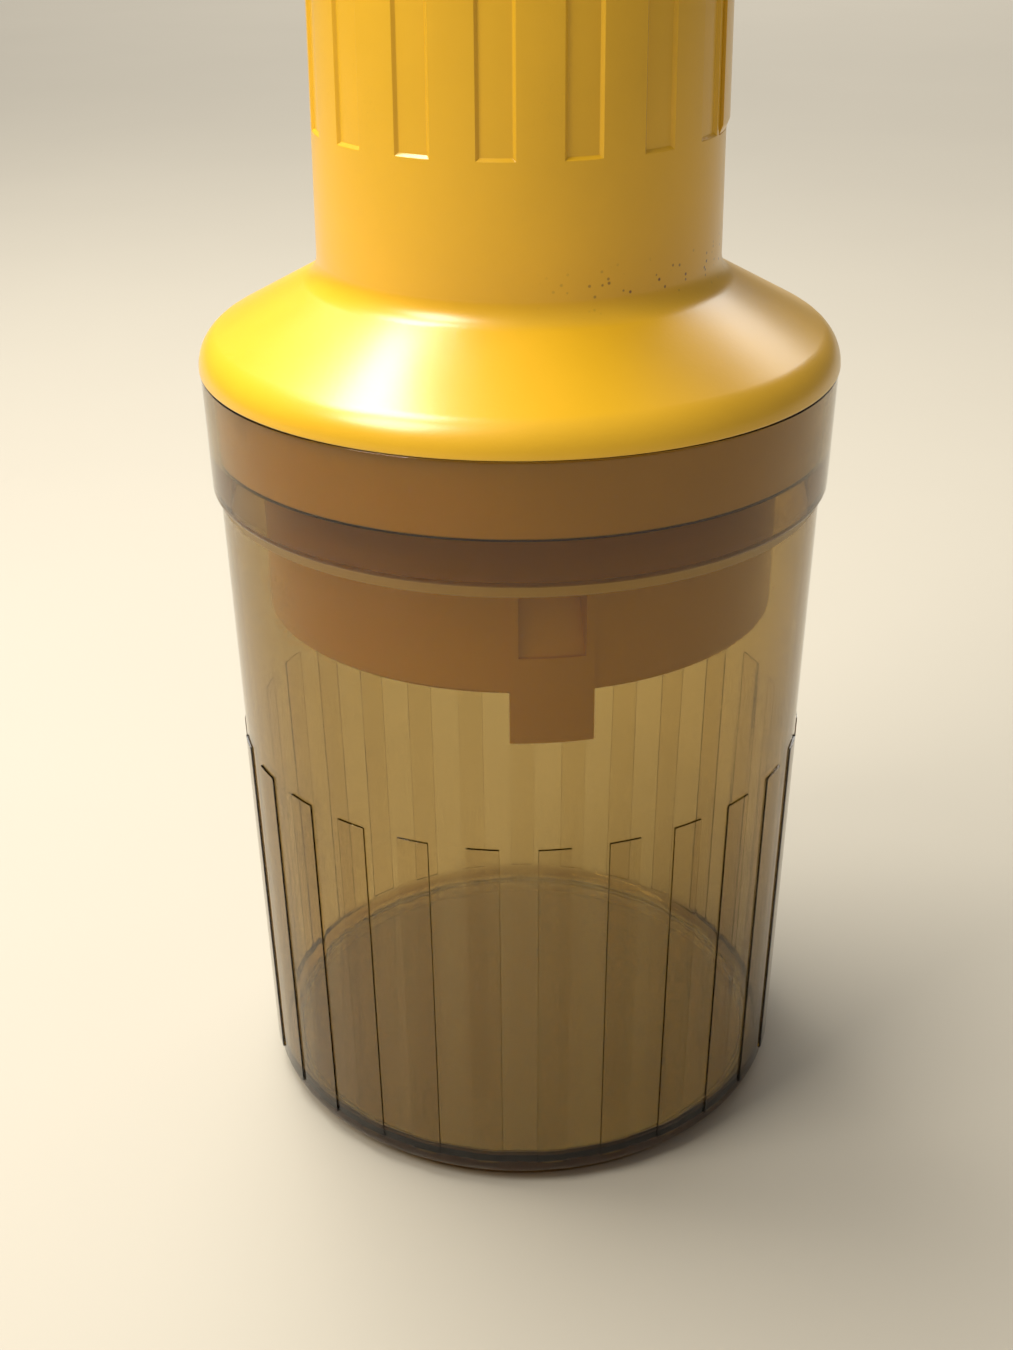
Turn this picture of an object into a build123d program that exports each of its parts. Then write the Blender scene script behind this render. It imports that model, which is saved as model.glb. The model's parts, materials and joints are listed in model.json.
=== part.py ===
from build123d import *
from math import cos, radians, sin, sqrt, tan
import os

# Electric grain mill: a motor head with two stones stands on a flour container.
# Millimetres. +Z is up, the origin is the centre of the container's foot on the table,
# -Y is the front, and the switch panel faces +X.

# ------------------------------------------------------------------ clearances
seat_gap = 0.2           # between a piece that lifts off and what it rests on
slip_gap = 0.4           # radial room of a skirt inside its collar
fit_gap = 0.3            # between curved faces that stay clear of each other
running_gap = 0.05       # radial room of a pin or shaft that turns or slides
cut_margin = 2.0         # how far a cutting body runs past the face that it cuts

# ------------------------------------------------------------------ flour container
container_height = 214.0
container_base_radius = 75.2
container_draft = 1.4            # degrees that the wall leans outwards
container_wall = 2.4
container_floor_top = 8.0
container_floor = 3.4
base_corner_radius = 4.2
inside_corner_radius = 3.5
foot_height = 2.6
foot_radius = 71.1
foot_width = 3.2
collar_height = 33.7
collar_step = 1.75
collar_slope_height = 3.5        # of the slope between the wall and the collar
collar_wall = 2.2
collar_edge_radius = 1.1
rib_count = 27
rib_angle = 6.2
rib_height = 0.5
rib_bottom = 8.1
rib_top = 110.9
rib_root = 0.6                   # how deep a rib is rooted in the wall
rib_phase = -1.4                 # degrees that the middle rib stands off the front

# ------------------------------------------------------------------ motor housing
rim_overhang = 0.32              # of the rim over the collar's upper edge
rim_height = 6.1
rim_round = 9.4
rim_edge_radius = 0.45
shoulder_slope = 28.3
neck_radius = 51.2
neck_round = 7.0
housing_draft = 0.62
housing_wall = 2.6
housing_length = 98.0            # from the neck to the housing's top edge
housing_roof = 3.0
skirt_depth = 19.7
skirt_wall = 2.2
flute_count = 16
flute_width = 9.1
flute_depth = 0.8
flute_slope = 45.0               # lean of the flute's side walls
flute_start = 35.2               # above the neck
flute_length = 58.0
vent_width = 4.0
vent_length = 14.0
vent_below_flute_end = 3.0

# ------------------------------------------------------------------ stones and chamber
stone_radius = 44.0
stone_gap = 0.3
bed_stone_thickness = 12.0
bed_stone_bore = 12.0
runner_stone_thickness = 11.0
runner_eye = 19.0
furrow_count = 12
furrow_width = 2.4
furrow_depth = 1.2
furrow_lean = 19.0               # degrees that a furrow leans from the radius
bed_carrier_rise = 0.7           # above the skirt's lower edge
bed_carrier_thickness = 3.2
bed_carrier_radius = 46.0
bed_arm_width = 12.0
chamber_room = 7.5               # flour slot round the stones
chamber_wall = 2.5
chamber_roof = 3.0
chamber_roof_room = 0.5          # over the carrier's boss when the shaft is lifted
ear_circle = 60.0
ear_radius = 5.5
ear_height = 14.0
column_circle = 33.0
column_radius = 4.8
carrier_disc_thickness = 3.0
carrier_disc_radius = 42.0
carrier_boss_radius = 9.0
carrier_boss_rise = 1.0
carrier_window_count = 3
carrier_window_angle = 62.0
carrier_window_gap = 0.5
shaft_seal_radius = 7.6
shaft_seal_height = 3.0
cover_thickness = 2.2
cover_rise = 5.2                 # underside cover above the skirt's lower edge
cover_post_circle = 72.2
cover_post_radius = 4.0
cover_post_length = 14.0
drum_radius = 68.4               # of the flour drum that hangs from the cover
drum_wall = 2.2
drum_drop = 44.5                 # below the skirt's lower edge
drum_edge_radius = 0.8
chute_turn = 12.0                # degrees that the drum's chute stands off the front
chute_angle = 17.0
chute_proud = 1.2
chute_drop = 13.0                # below the drum's lower edge
pocket_angle = 13.4
pocket_rise = 10.0               # above the drum's lower edge
pocket_height = 18.0
pocket_depth = 8.0               # at its top; its back slopes out to the drum's face

# ------------------------------------------------------------------ motor
motor_plate_rise = 5.0           # above the neck
motor_plate_thickness = 4.0
motor_plate_radius = 47.4
motor_hub_radius = 14.5
motor_hub_height = 10.0
mount_circle = 43.2
mount_radius = 4.6
mount_height = 3.0
ledge_height = 3.2
ledge_width = 10.4
bearing_outer = 11.0
bearing_bore = 4.0
bearing_width = 7.0
bearing_ring = 2.2
bearing_seat_depth = 0.5
shaft_thick_radius = 5.0
shaft_room = 1.0
stator_rise = 20.0               # above the motor plate
stator_stack = 34.0
stator_radius = 37.0
stator_half_width = 27.5
stator_window_x = 30.0
stator_window_y = 20.0
stator_bore = 21.2
pole_half_width = 11.0
pole_shoe = 3.4
pole_shoe_half_height = 16.5
coil_thickness = 5.0
coil_width = 6.0
coil_overhang = 7.0
coil_room = 0.4
armature_gap = 0.8
armature_length = 30.0
slot_count = 12
slot_width = 2.4
slot_depth = 7.0
winding_radius = 16.5
winding_length = 4.8
winding_round = 1.6
fan_radius = 22.5
fan_height = 4.4
fan_disc = 1.4
fan_hub_radius = 8.0
fan_blade_count = 9
fan_blade_thickness = 1.4
fan_blade_inset = 1.0            # blade rooted in the hub and short of the disc's edge
fan_rise = 2.2
commutator_gap = 1.2             # above the windings
commutator_radius = 11.0
commutator_length = 9.5
commutator_bars = 22
commutator_groove = 0.4
post_x = 22.0
post_y = 23.5
post_radius = 2.0
sleeve_radius = 3.2
bracket_rise = 14.0              # upper bracket above the stator
bracket_thickness = 3.0
bracket_hub_height = 7.0
bracket_hub_wall = 4.0
brush_holder_length = 14.0
brush_holder_width = 8.4
brush_holder_floor = 1.1
brush_width = 5.6
brush_height = 5.6
brush_length = 11.0
brush_gap = 0.1

# ------------------------------------------------------------------ grain duct
duct_width = 24.0
duct_depth = 14.5
duct_wall = 1.6
duct_centre = 36.75              # distance of the duct's middle behind the shaft
feed_width = 19.2
feed_depth = 14.4
feed_centre = 15.4

# ------------------------------------------------------------------ fineness adjustment
lift_travel = 1.5
adjust_ring_gap = 0.8
adjust_ring_height = 14.0
adjust_ring_radius = 57.2
adjust_grip_count = 40
adjust_grip_radius = 1.5
adjust_grip_height = 8.0
spigot_radius = 49.2
spigot_wall = 2.6
bridge_rise = 4.3                # crossbar above the housing's top edge
bridge_thickness = 4.0
bridge_width = 12.0
bridge_reach = 53.2
bridge_sleeve_wall = 2.0
bridge_cap = 3.0
spring_wire = 1.5
spring_turns = 4.0
spring_room = 0.5

# ------------------------------------------------------------------ hopper and lid
shell_neck_radius = 52.0
shell_neck_height = 5.7
shell_rim_radius = 80.0
shell_flare = 45.0
shell_rim_height = 8.0
shell_round = 6.0
shell_wall = 2.6
shell_flange = 3.0
shell_flange_inner = 38.0
shell_screw_circle = 42.0
hopper_wall = 2.2
hopper_band_height = 44.0        # above the shell's rim
hopper_bead_height = 2.4
hopper_skirt_depth = 5.0         # below the shell's rim
funnel_rise = 26.0               # funnel mouth above the shell's rim
funnel_lift = 1.2                # funnel floor above its underside
outlet_height = 3.0
lid_thickness = 2.4
lid_overhang = 1.6
lid_skirt_depth = 7.0
lid_skirt_wall = 1.8
lid_rise = 5.0
knob_radius = 15.0
knob_height = 13.0
knob_neck_radius = 9.0
knob_round = 2.5

# ------------------------------------------------------------------ switch panel
panel_angle = 30.0
panel_proud = 0.8
panel_recess = 1.6
panel_gap_angle = 0.5
panel_start = 35.0               # above the neck
panel_length = 59.0
panel_slope = 2.2
switch_rise = 81.0               # switch centre above the neck
switch_half_width = 6.5
switch_half_height = 9.8
switch_depth = 12.0
bezel_edge = 1.6
bezel_thickness = 1.8
rocker_half_width = 5.2
rocker_half_height = 7.9
rocker_room = 0.7
rocker_side_room = 0.2
rocker_tilt = 8.0
rocker_pivot_depth = 4.6         # behind the bezel's face
rocker_pin_radius = 1.2
rocker_dish = 1.1
rocker_root = 3.0

# ------------------------------------------------------------------ electrical bits
gland_angle = 135.0
gland_rise = 24.0
gland_radius = 8.0
gland_length = 9.0
gland_throat = 5.8
gland_bore = 3.4
gland_nut_length = 3.0
gland_nut_gap = 0.9              # the nut's flat face before the round wall
gland_taper = 5.0
capacitor_radius = 5.6
capacitor_length = 20.0
capacitor_angle = 205.0
terminal_length = 16.0
terminal_width = 8.4
terminal_height = 9.6
terminal_distance = 28.2
terminal_poles = 3

# ------------------------------------------------------------------ screws
m4_radius = 2.0
m4_head_radius = 3.7
m4_head_height = 2.4
m3_radius = 1.5
m3_head_radius = 2.8
m3_head_height = 1.9
screw_hole_room = 0.3
nut_radius = 7.0
nut_height = 5.4
tripod_count = 3                 # screws and feet that stand in threes
tripod_start = 30.0              # the first one's angle from +X


# ------------------------------------------------------------------ levels and radii
def wall_radius(level):
    """Outer radius of the container's wall at a level."""
    return container_base_radius + level * tan(radians(container_draft))


def collar_inner(level):
    """Inner radius of the container's collar at a level."""
    return wall_radius(level) + collar_step - collar_wall


def housing_radius(level):
    """Outer radius of the housing's cylinder at a level."""
    return neck_radius - (level - neck_level) * tan(radians(housing_draft))


collar_bottom = container_height - collar_height
collar_corner = collar_bottom + collar_slope_height
rim_bottom = container_height + seat_gap
rim_radius = wall_radius(container_height) + collar_step + rim_overhang
rim_corner = rim_bottom + rim_height
neck_level = rim_corner + (rim_radius - neck_radius) * tan(radians(shoulder_slope))
housing_top = neck_level + housing_length
skirt_bottom = rim_bottom - skirt_depth
collar_ledge = skirt_bottom - seat_gap

bed_carrier_bottom = skirt_bottom + bed_carrier_rise
bed_stone_bottom = bed_carrier_bottom + bed_carrier_thickness
bed_stone_top = bed_stone_bottom + bed_stone_thickness
runner_bottom = bed_stone_top + stone_gap
runner_top = runner_bottom + runner_stone_thickness
carrier_top = runner_top + carrier_disc_thickness
roof_bottom = carrier_top + carrier_boss_rise + lift_travel + chamber_roof_room
roof_top = roof_bottom + chamber_roof
chamber_inner = stone_radius + chamber_room
chamber_outer = chamber_inner + chamber_wall
cover_bottom = skirt_bottom + cover_rise
drum_bottom = skirt_bottom - drum_drop
drum_inner = drum_radius - drum_wall
pocket_bottom = drum_bottom + pocket_rise
pocket_top = pocket_bottom + pocket_height
furrow_length = stone_radius + runner_eye

motor_plate_bottom = neck_level + motor_plate_rise
motor_plate_top = motor_plate_bottom + motor_plate_thickness
ledge_bottom = motor_plate_top + mount_height
lower_bearing_bottom = motor_plate_top + motor_hub_height - bearing_width - bearing_seat_depth
stator_bottom = motor_plate_top + stator_rise
stator_top = stator_bottom + stator_stack
stator_middle = (stator_bottom + stator_top) / 2
armature_radius = stator_bore - armature_gap
armature_bottom = stator_middle - armature_length / 2
armature_top = stator_middle + armature_length / 2
fan_bottom = motor_plate_top + motor_hub_height + fan_rise
commutator_bottom = armature_top + winding_length + commutator_gap
bracket_bottom = stator_top + bracket_rise
bracket_top = bracket_bottom + bracket_thickness
bracket_hub_top = bracket_bottom + bracket_hub_height

adjust_ring_bottom = housing_top + adjust_ring_gap
adjust_ring_top = adjust_ring_bottom + adjust_ring_height
shell_bottom = adjust_ring_top + seat_gap
bridge_bottom = housing_top + bridge_rise
bridge_top = bridge_bottom + bridge_thickness
bridge_sleeve_radius = bearing_outer + bridge_sleeve_wall
bracket_bore = bridge_sleeve_radius + running_gap
bridge_sleeve_bottom = bracket_hub_top - bracket_hub_height / 2
upper_bearing_top = bridge_bottom - bridge_cap
upper_bearing_bottom = upper_bearing_top - bearing_width
spring_radius = bridge_sleeve_radius + spring_room + spring_wire / 2

shell_flare_bottom = shell_bottom + shell_neck_height
shell_flare_top = shell_flare_bottom + (shell_rim_radius - shell_neck_radius) * tan(radians(shell_flare))
shell_rim_top = shell_flare_top + shell_rim_height
hopper_radius = shell_rim_radius - shell_wall - slip_gap
hopper_top = shell_rim_top + hopper_band_height
funnel_mouth = shell_rim_top + funnel_rise
outlet_top = shell_bottom + shell_flange + outlet_height
duct_top = shell_bottom
lid_bottom = hopper_top + seat_gap
lid_top = lid_bottom + lid_thickness
knob_bottom = lid_top + lid_rise

switch_level = neck_level + switch_rise
panel_bottom = neck_level + panel_start
panel_top = panel_bottom + panel_length
panel_outer = housing_radius(switch_level) + panel_proud
bezel_seat = sqrt(panel_outer ** 2 - (switch_half_width + bezel_edge) ** 2) - fit_gap
bezel_front = bezel_seat + bezel_thickness
rocker_pivot = bezel_front - rocker_pivot_depth


# ------------------------------------------------------------------ helpers
def corner(sketch, across, level):
    """The sketch's vertex nearest to a point given as radius and level."""
    return sketch.vertices().sort_by_distance((across, level, 0))[0]


def pan_screw(radius, length, head_radius, head_height):
    """A pan-head screw with its head on top of the origin and its shank below."""
    with BuildPart() as screw:
        with BuildSketch(Plane.XZ) as outline:
            with BuildLine():
                Polyline((0, -length), (radius, -length), (radius, 0), (head_radius, 0),
                         (head_radius, head_height), (0, head_height), close=True)
            make_face()
            fillet(corner(outline, head_radius, head_height), head_height / 2)
        revolve(axis=Axis.Z)
        with BuildSketch(Plane.XY.offset(head_height)):
            Rectangle(head_radius * 2 - head_height, radius / 2)
            Rectangle(radius / 2, head_radius * 2 - head_height)
        extrude(amount=-head_height / 2, mode=Mode.SUBTRACT)
    return screw.part


def upturned(part):
    """The same piece with its head below, for a screw that goes in from underneath."""
    return part.rotate(Axis.X, 180)


def ball_bearing(bottom):
    """A shielded ball bearing, its outer ring, shield and inner ring drawn as one solid."""
    groove = bearing_seat_depth
    middle_outer = bearing_outer - bearing_ring
    middle_inner = bearing_bore + bearing_ring
    with BuildPart() as bearing:
        with BuildSketch(Plane.XZ):
            with BuildLine():
                Polyline((bearing_bore + running_gap, bottom), (middle_inner, bottom),
                         (middle_inner, bottom + groove), (middle_outer, bottom + groove),
                         (middle_outer, bottom), (bearing_outer, bottom),
                         (bearing_outer, bottom + bearing_width), (middle_outer, bottom + bearing_width),
                         (middle_outer, bottom + bearing_width - groove),
                         (middle_inner, bottom + bearing_width - groove),
                         (middle_inner, bottom + bearing_width),
                         (bearing_bore + running_gap, bottom + bearing_width), close=True)
            make_face()
        revolve(axis=Axis.Z)
    return bearing.part


m4_screw_short = pan_screw(m4_radius, motor_plate_thickness + mount_height + ledge_height,
                           m4_head_radius, m4_head_height)
m4_screw_ear = pan_screw(m4_radius, bed_carrier_thickness + ear_height / 2, m4_head_radius, m4_head_height)
m3_screw_cover = pan_screw(m3_radius, cover_thickness + cover_post_length / 2,
                           m3_head_radius, m3_head_height)
m3_screw_shell = pan_screw(m3_radius, shell_flange + housing_roof, m3_head_radius, m3_head_height)
m3_screw_column = pan_screw(m3_radius, motor_plate_thickness + column_radius,
                            m3_head_radius, m3_head_height)
m3_screw_knob = pan_screw(m3_radius, lid_thickness + knob_height / 2, m3_head_radius, m3_head_height)


# ------------------------------------------------------------------ flour container
with BuildPart() as flour_rib:
    with BuildSketch(Plane.XZ):
        with BuildLine():
            Polyline((wall_radius(rib_bottom) - rib_root, rib_bottom),
                     (wall_radius(rib_bottom) + rib_height, rib_bottom),
                     (wall_radius(rib_top) + rib_height, rib_top),
                     (wall_radius(rib_top) - rib_root, rib_top), close=True)
        make_face()
    revolve(axis=Axis.Z, revolution_arc=rib_angle)

with BuildPart() as flour_container:
    with BuildSketch(Plane.XZ) as cup:
        with BuildLine():
            Polyline((0, foot_height), (wall_radius(foot_height), foot_height),
                     (wall_radius(collar_bottom), collar_bottom),
                     (wall_radius(collar_corner) + collar_step, collar_corner),
                     (wall_radius(container_height) + collar_step, container_height),
                     (0, container_height), close=True)
        make_face()
        fillet(corner(cup, wall_radius(foot_height), foot_height), base_corner_radius)
        fillet(corner(cup, wall_radius(collar_corner) + collar_step, collar_corner), collar_edge_radius)
    revolve(axis=Axis.Z)
    with BuildSketch(Plane.XZ) as hollow:
        with BuildLine():
            Polyline((0, container_floor_top),
                     (wall_radius(container_floor_top) - container_wall, container_floor_top),
                     (wall_radius(collar_ledge) - container_wall, collar_ledge),
                     (collar_inner(collar_ledge), collar_ledge),
                     (collar_inner(container_height), container_height),
                     (0, container_height), close=True)
        make_face()
        fillet(corner(hollow, wall_radius(container_floor_top) - container_wall, container_floor_top),
               inside_corner_radius)
    revolve(axis=Axis.Z, mode=Mode.SUBTRACT)
    with BuildSketch(Plane.XY.offset(container_floor_top - container_floor)):
        Circle(foot_radius - foot_width)
    extrude(amount=-container_floor_top, mode=Mode.SUBTRACT)
    with BuildSketch(Plane.XY):
        Circle(foot_radius)
        Circle(foot_radius - foot_width, mode=Mode.SUBTRACT)
    extrude(amount=foot_height)
    with PolarLocations(0, rib_count, start_angle=-90 + rib_phase - rib_angle / 2):
        add(flour_rib.part)


# ------------------------------------------------------------------ motor housing
flute_bottom = neck_level + flute_start
flute_middle = flute_bottom + flute_length / 2
flute_plane = Plane(origin=(housing_radius(flute_middle), 0, flute_middle), x_dir=(0, 1, 0),
                    z_dir=(cos(radians(housing_draft)), 0, sin(radians(housing_draft))))
flute_spread = cut_margin * tan(radians(flute_slope))

with BuildPart() as flute:
    with BuildSketch(flute_plane.offset(cut_margin)):
        Rectangle(flute_width + 2 * flute_spread, flute_length + 2 * flute_spread)
    extrude(amount=-cut_margin - flute_depth, taper=flute_slope)

with BuildPart() as panel_seat:
    with BuildSketch(Plane.XZ):
        with BuildLine():
            Polyline((housing_radius(panel_bottom) - panel_recess, panel_bottom),
                     (housing_radius(panel_bottom) + cut_margin, panel_bottom),
                     (housing_radius(panel_top) + cut_margin, panel_top),
                     (housing_radius(panel_top) - panel_recess, panel_top), close=True)
        make_face()
    revolve(axis=Axis.Z, revolution_arc=panel_angle)

flute_places = [index * 360 / flute_count for index in range(1, flute_count)]

with BuildPart() as motor_housing:
    with BuildSketch(Plane.XZ) as outside:
        with BuildLine():
            Polyline((0, rim_bottom), (rim_radius, rim_bottom), (rim_radius, rim_corner),
                     (neck_radius, neck_level), (housing_radius(housing_top), housing_top),
                     (0, housing_top), close=True)
        make_face()
        fillet(corner(outside, rim_radius, rim_corner), rim_round)
        fillet(corner(outside, neck_radius, neck_level), neck_round)
        fillet(corner(outside, rim_radius, rim_bottom), rim_edge_radius)
    revolve(axis=Axis.Z)
    inner_drop = housing_wall / cos(radians(shoulder_slope))
    inner_neck = neck_level - inner_drop + housing_wall * tan(radians(shoulder_slope))
    inner_rim = rim_radius - housing_wall
    inner_corner = inner_neck - (inner_rim - neck_radius + housing_wall) * tan(radians(shoulder_slope))
    with BuildSketch(Plane.XZ) as inside:
        with BuildLine():
            Polyline((0, rim_bottom), (inner_rim, rim_bottom), (inner_rim, inner_corner),
                     (neck_radius - housing_wall, inner_neck),
                     (housing_radius(housing_top) - housing_wall, housing_top - housing_roof),
                     (0, housing_top - housing_roof), close=True)
        make_face()
        fillet(corner(inside, neck_radius - housing_wall, inner_neck), neck_round + housing_wall)
    revolve(axis=Axis.Z, mode=Mode.SUBTRACT)
    with BuildSketch(Plane.XZ):
        with BuildLine():
            Polyline((collar_inner(skirt_bottom) - slip_gap - skirt_wall, skirt_bottom),
                     (collar_inner(skirt_bottom) - slip_gap, skirt_bottom),
                     (collar_inner(container_height) - slip_gap, rim_bottom),
                     (inner_rim + rim_edge_radius, rim_bottom),
                     (inner_rim + rim_edge_radius, rim_bottom + skirt_wall),
                     (collar_inner(skirt_bottom) - slip_gap - skirt_wall, rim_bottom + skirt_wall),
                     close=True)
        make_face()
    revolve(axis=Axis.Z)
    with BuildSketch(Plane.XY.offset(ledge_bottom)):
        Circle(housing_radius(ledge_bottom) - housing_wall + fit_gap)
        Circle(housing_radius(ledge_bottom) - housing_wall - ledge_width, mode=Mode.SUBTRACT)
        with Locations((0, duct_centre + duct_depth / 2)):
            Rectangle(duct_width + 2 * fit_gap, duct_depth * 2 + 2 * fit_gap, mode=Mode.SUBTRACT)
    extrude(amount=ledge_height)
    with BuildSketch(Plane.XY.offset(cover_bottom + cover_thickness)):
        with PolarLocations(cover_post_circle, tripod_count, start_angle=tripod_start):
            Circle(cover_post_radius)
    extrude(until=Until.NEXT)
    with BuildSketch(Plane.XY.offset(cover_bottom + cover_thickness)):
        with PolarLocations(cover_post_circle, tripod_count, start_angle=tripod_start):
            Circle(m3_radius + running_gap)
    extrude(amount=cover_post_length / 2, mode=Mode.SUBTRACT)
    for place_angle in flute_places:
        add(flute.part.rotate(Axis.Z, place_angle), mode=Mode.SUBTRACT)
    add(panel_seat.part.rotate(Axis.Z, -panel_angle / 2), mode=Mode.SUBTRACT)
    vent_level = flute_bottom + flute_length - vent_below_flute_end - vent_length / 2
    for place_angle in flute_places:
        outward = (cos(radians(place_angle)), sin(radians(place_angle)), 0)
        with BuildSketch(Plane(origin=(0, 0, vent_level), x_dir=(0, 0, 1), z_dir=outward)):
            SlotOverall(vent_length, vent_width)
        extrude(amount=neck_radius + cut_margin, mode=Mode.SUBTRACT)
    with BuildSketch(Plane.YZ.offset(bezel_seat - switch_depth)):
        with Locations((0, switch_level)):
            Rectangle(2 * (switch_half_width + running_gap), 2 * (switch_half_height + running_gap))
    extrude(amount=neck_radius, mode=Mode.SUBTRACT)
    with BuildSketch(Plane.XY.offset(housing_top)):
        Circle(spring_radius + spring_wire + fit_gap)
        with Locations((0, duct_centre)):
            Rectangle(duct_width + 2 * fit_gap, duct_depth + 2 * fit_gap)
        with PolarLocations(shell_screw_circle, tripod_count, start_angle=tripod_start):
            Circle(m3_radius + running_gap)
    extrude(amount=-housing_roof, mode=Mode.SUBTRACT)
    gland_out = Plane(origin=(0, 0, neck_level + gland_rise), x_dir=(0, 0, 1),
                      z_dir=(cos(radians(gland_angle)), sin(radians(gland_angle)), 0))
    with BuildSketch(gland_out):
        Circle(gland_throat + running_gap)
    extrude(amount=neck_radius + cut_margin, mode=Mode.SUBTRACT)
    with BuildSketch(Plane.XY.offset(ledge_bottom)):
        with PolarLocations(mount_circle, tripod_count, start_angle=tripod_start):
            Circle(m4_radius + running_gap)
    extrude(amount=ledge_height, mode=Mode.SUBTRACT)


# ------------------------------------------------------------------ switch panel and switch
panel_low = panel_bottom + fit_gap / 2
panel_high = panel_top - fit_gap / 2
panel_back = panel_recess - running_gap
with BuildPart() as panel_blank:
    with BuildSketch(Plane.XZ):
        with BuildLine():
            Polyline((housing_radius(panel_low) - panel_back, panel_low),
                     (housing_radius(panel_low), panel_low),
                     (housing_radius(panel_low) + panel_proud, panel_low + panel_slope),
                     (housing_radius(panel_high) + panel_proud, panel_high - panel_slope),
                     (housing_radius(panel_high), panel_high),
                     (housing_radius(panel_high) - panel_back, panel_high), close=True)
        make_face()
    revolve(axis=Axis.Z, revolution_arc=panel_angle - panel_gap_angle)

with BuildPart() as switch_panel:
    add(panel_blank.part.rotate(Axis.Z, -(panel_angle - panel_gap_angle) / 2))
    with BuildSketch(Plane.YZ.offset(bezel_seat)):
        with Locations((0, switch_level)):
            Rectangle(2 * (switch_half_width + bezel_edge + running_gap),
                      2 * (switch_half_height + bezel_edge + running_gap))
    extrude(amount=panel_recess + panel_proud, mode=Mode.SUBTRACT)
    with BuildSketch(Plane.YZ.offset(bezel_seat)):
        with Locations((0, switch_level)):
            Rectangle(2 * (switch_half_width + running_gap), 2 * (switch_half_height + running_gap))
    extrude(amount=-switch_depth, mode=Mode.SUBTRACT)

with BuildPart() as switch_body:
    with BuildSketch(Plane.YZ.offset(bezel_seat - switch_depth)):
        with Locations((0, switch_level)):
            Rectangle(2 * switch_half_width, 2 * switch_half_height)
    extrude(amount=switch_depth)
    with BuildSketch(Plane.YZ.offset(bezel_seat)):
        with Locations((0, switch_level)):
            RectangleRounded(2 * (switch_half_width + bezel_edge), 2 * (switch_half_height + bezel_edge),
                             bezel_edge)
    extrude(amount=bezel_thickness)
    with BuildSketch(Plane.YZ.offset(bezel_front)):
        with Locations((0, switch_level)):
            Rectangle(2 * (rocker_half_width + rocker_side_room), 2 * (rocker_half_height + rocker_room))
    extrude(amount=-rocker_pivot_depth - rocker_root - rocker_room, mode=Mode.SUBTRACT)
    with BuildSketch(Plane.XZ.offset(-switch_half_width)):
        with Locations((rocker_pivot, switch_level)):
            Circle(rocker_pin_radius + running_gap)
    extrude(amount=2 * switch_half_width, mode=Mode.SUBTRACT)

with BuildPart() as rocker:
    with BuildSketch(Plane.XZ.offset(-rocker_half_width)):
        with BuildLine():
            Polyline((rocker_pivot - rocker_root, switch_level - rocker_root),
                     (bezel_front - rocker_dish / 2, switch_level - rocker_half_height),
                     (bezel_front - rocker_dish, switch_level),
                     (bezel_front - rocker_dish / 2, switch_level + rocker_half_height),
                     (rocker_pivot - rocker_root, switch_level + rocker_root), close=True)
        make_face()
    extrude(amount=2 * rocker_half_width)
    with BuildSketch(Plane.XZ.offset(-switch_half_width)):
        with Locations((rocker_pivot, switch_level)):
            Circle(rocker_pin_radius)
    extrude(amount=2 * switch_half_width)
rocker_axis = Axis((rocker_pivot, 0, switch_level), (0, 1, 0))
rocker.part = rocker.part.rotate(rocker_axis, rocker_tilt)


# ------------------------------------------------------------------ stones and grinding chamber
with BuildPart() as bed_carrier:
    with BuildSketch(Plane.XY.offset(bed_carrier_bottom)):
        Circle(bed_carrier_radius)
        with PolarLocations(ear_circle / 2, tripod_count, start_angle=tripod_start):
            Rectangle(ear_circle, bed_arm_width)
        with PolarLocations(ear_circle, tripod_count, start_angle=tripod_start):
            Circle(bed_arm_width / 2)
            Circle(m4_radius + screw_hole_room, mode=Mode.SUBTRACT)
    extrude(amount=bed_carrier_thickness)

with BuildPart() as bed_stone:
    with BuildSketch(Plane.XY.offset(bed_stone_bottom)):
        Circle(stone_radius)
        Circle(bed_stone_bore, mode=Mode.SUBTRACT)
    extrude(amount=bed_stone_thickness)
    with BuildSketch(Plane.XY.offset(bed_stone_top)):
        with PolarLocations(furrow_length / 2, furrow_count):
            Rectangle(furrow_length, furrow_width, rotation=furrow_lean)
    extrude(amount=-furrow_depth, mode=Mode.SUBTRACT)

with BuildPart() as runner_stone:
    with BuildSketch(Plane.XY.offset(runner_bottom)):
        Circle(stone_radius)
        Circle(runner_eye, mode=Mode.SUBTRACT)
    extrude(amount=runner_stone_thickness)
    with BuildSketch(Plane.XY.offset(runner_bottom)):
        with PolarLocations(furrow_length / 2, furrow_count):
            Rectangle(furrow_length, furrow_width, rotation=-furrow_lean)
    extrude(amount=furrow_depth, mode=Mode.SUBTRACT)

boss_bottom = bed_stone_top + nut_height / 2
boss_top = carrier_top + carrier_boss_rise
with BuildPart() as runner_carrier:
    with BuildSketch(Plane.XY.offset(runner_top)):
        Circle(carrier_disc_radius)
    extrude(amount=carrier_disc_thickness)
    window_middle = (carrier_boss_radius + runner_eye) / 2
    with BuildSketch(Plane.XY.offset(runner_top)):
        with PolarLocations(0, carrier_window_count):
            with BuildLine():
                window_arc = CenterArc((0, 0), window_middle, -carrier_window_angle / 2,
                                       carrier_window_angle)
            SlotArc(window_arc, runner_eye - carrier_boss_radius - 2 * carrier_window_gap)
    extrude(amount=carrier_disc_thickness, mode=Mode.SUBTRACT)
    with BuildSketch(Plane.XY.offset(boss_bottom)):
        Circle(carrier_boss_radius)
    extrude(amount=boss_top - boss_bottom)
    with BuildSketch(Plane.XY.offset(boss_bottom)):
        Circle(bearing_bore)
    extrude(amount=boss_top - boss_bottom, mode=Mode.SUBTRACT)

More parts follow.
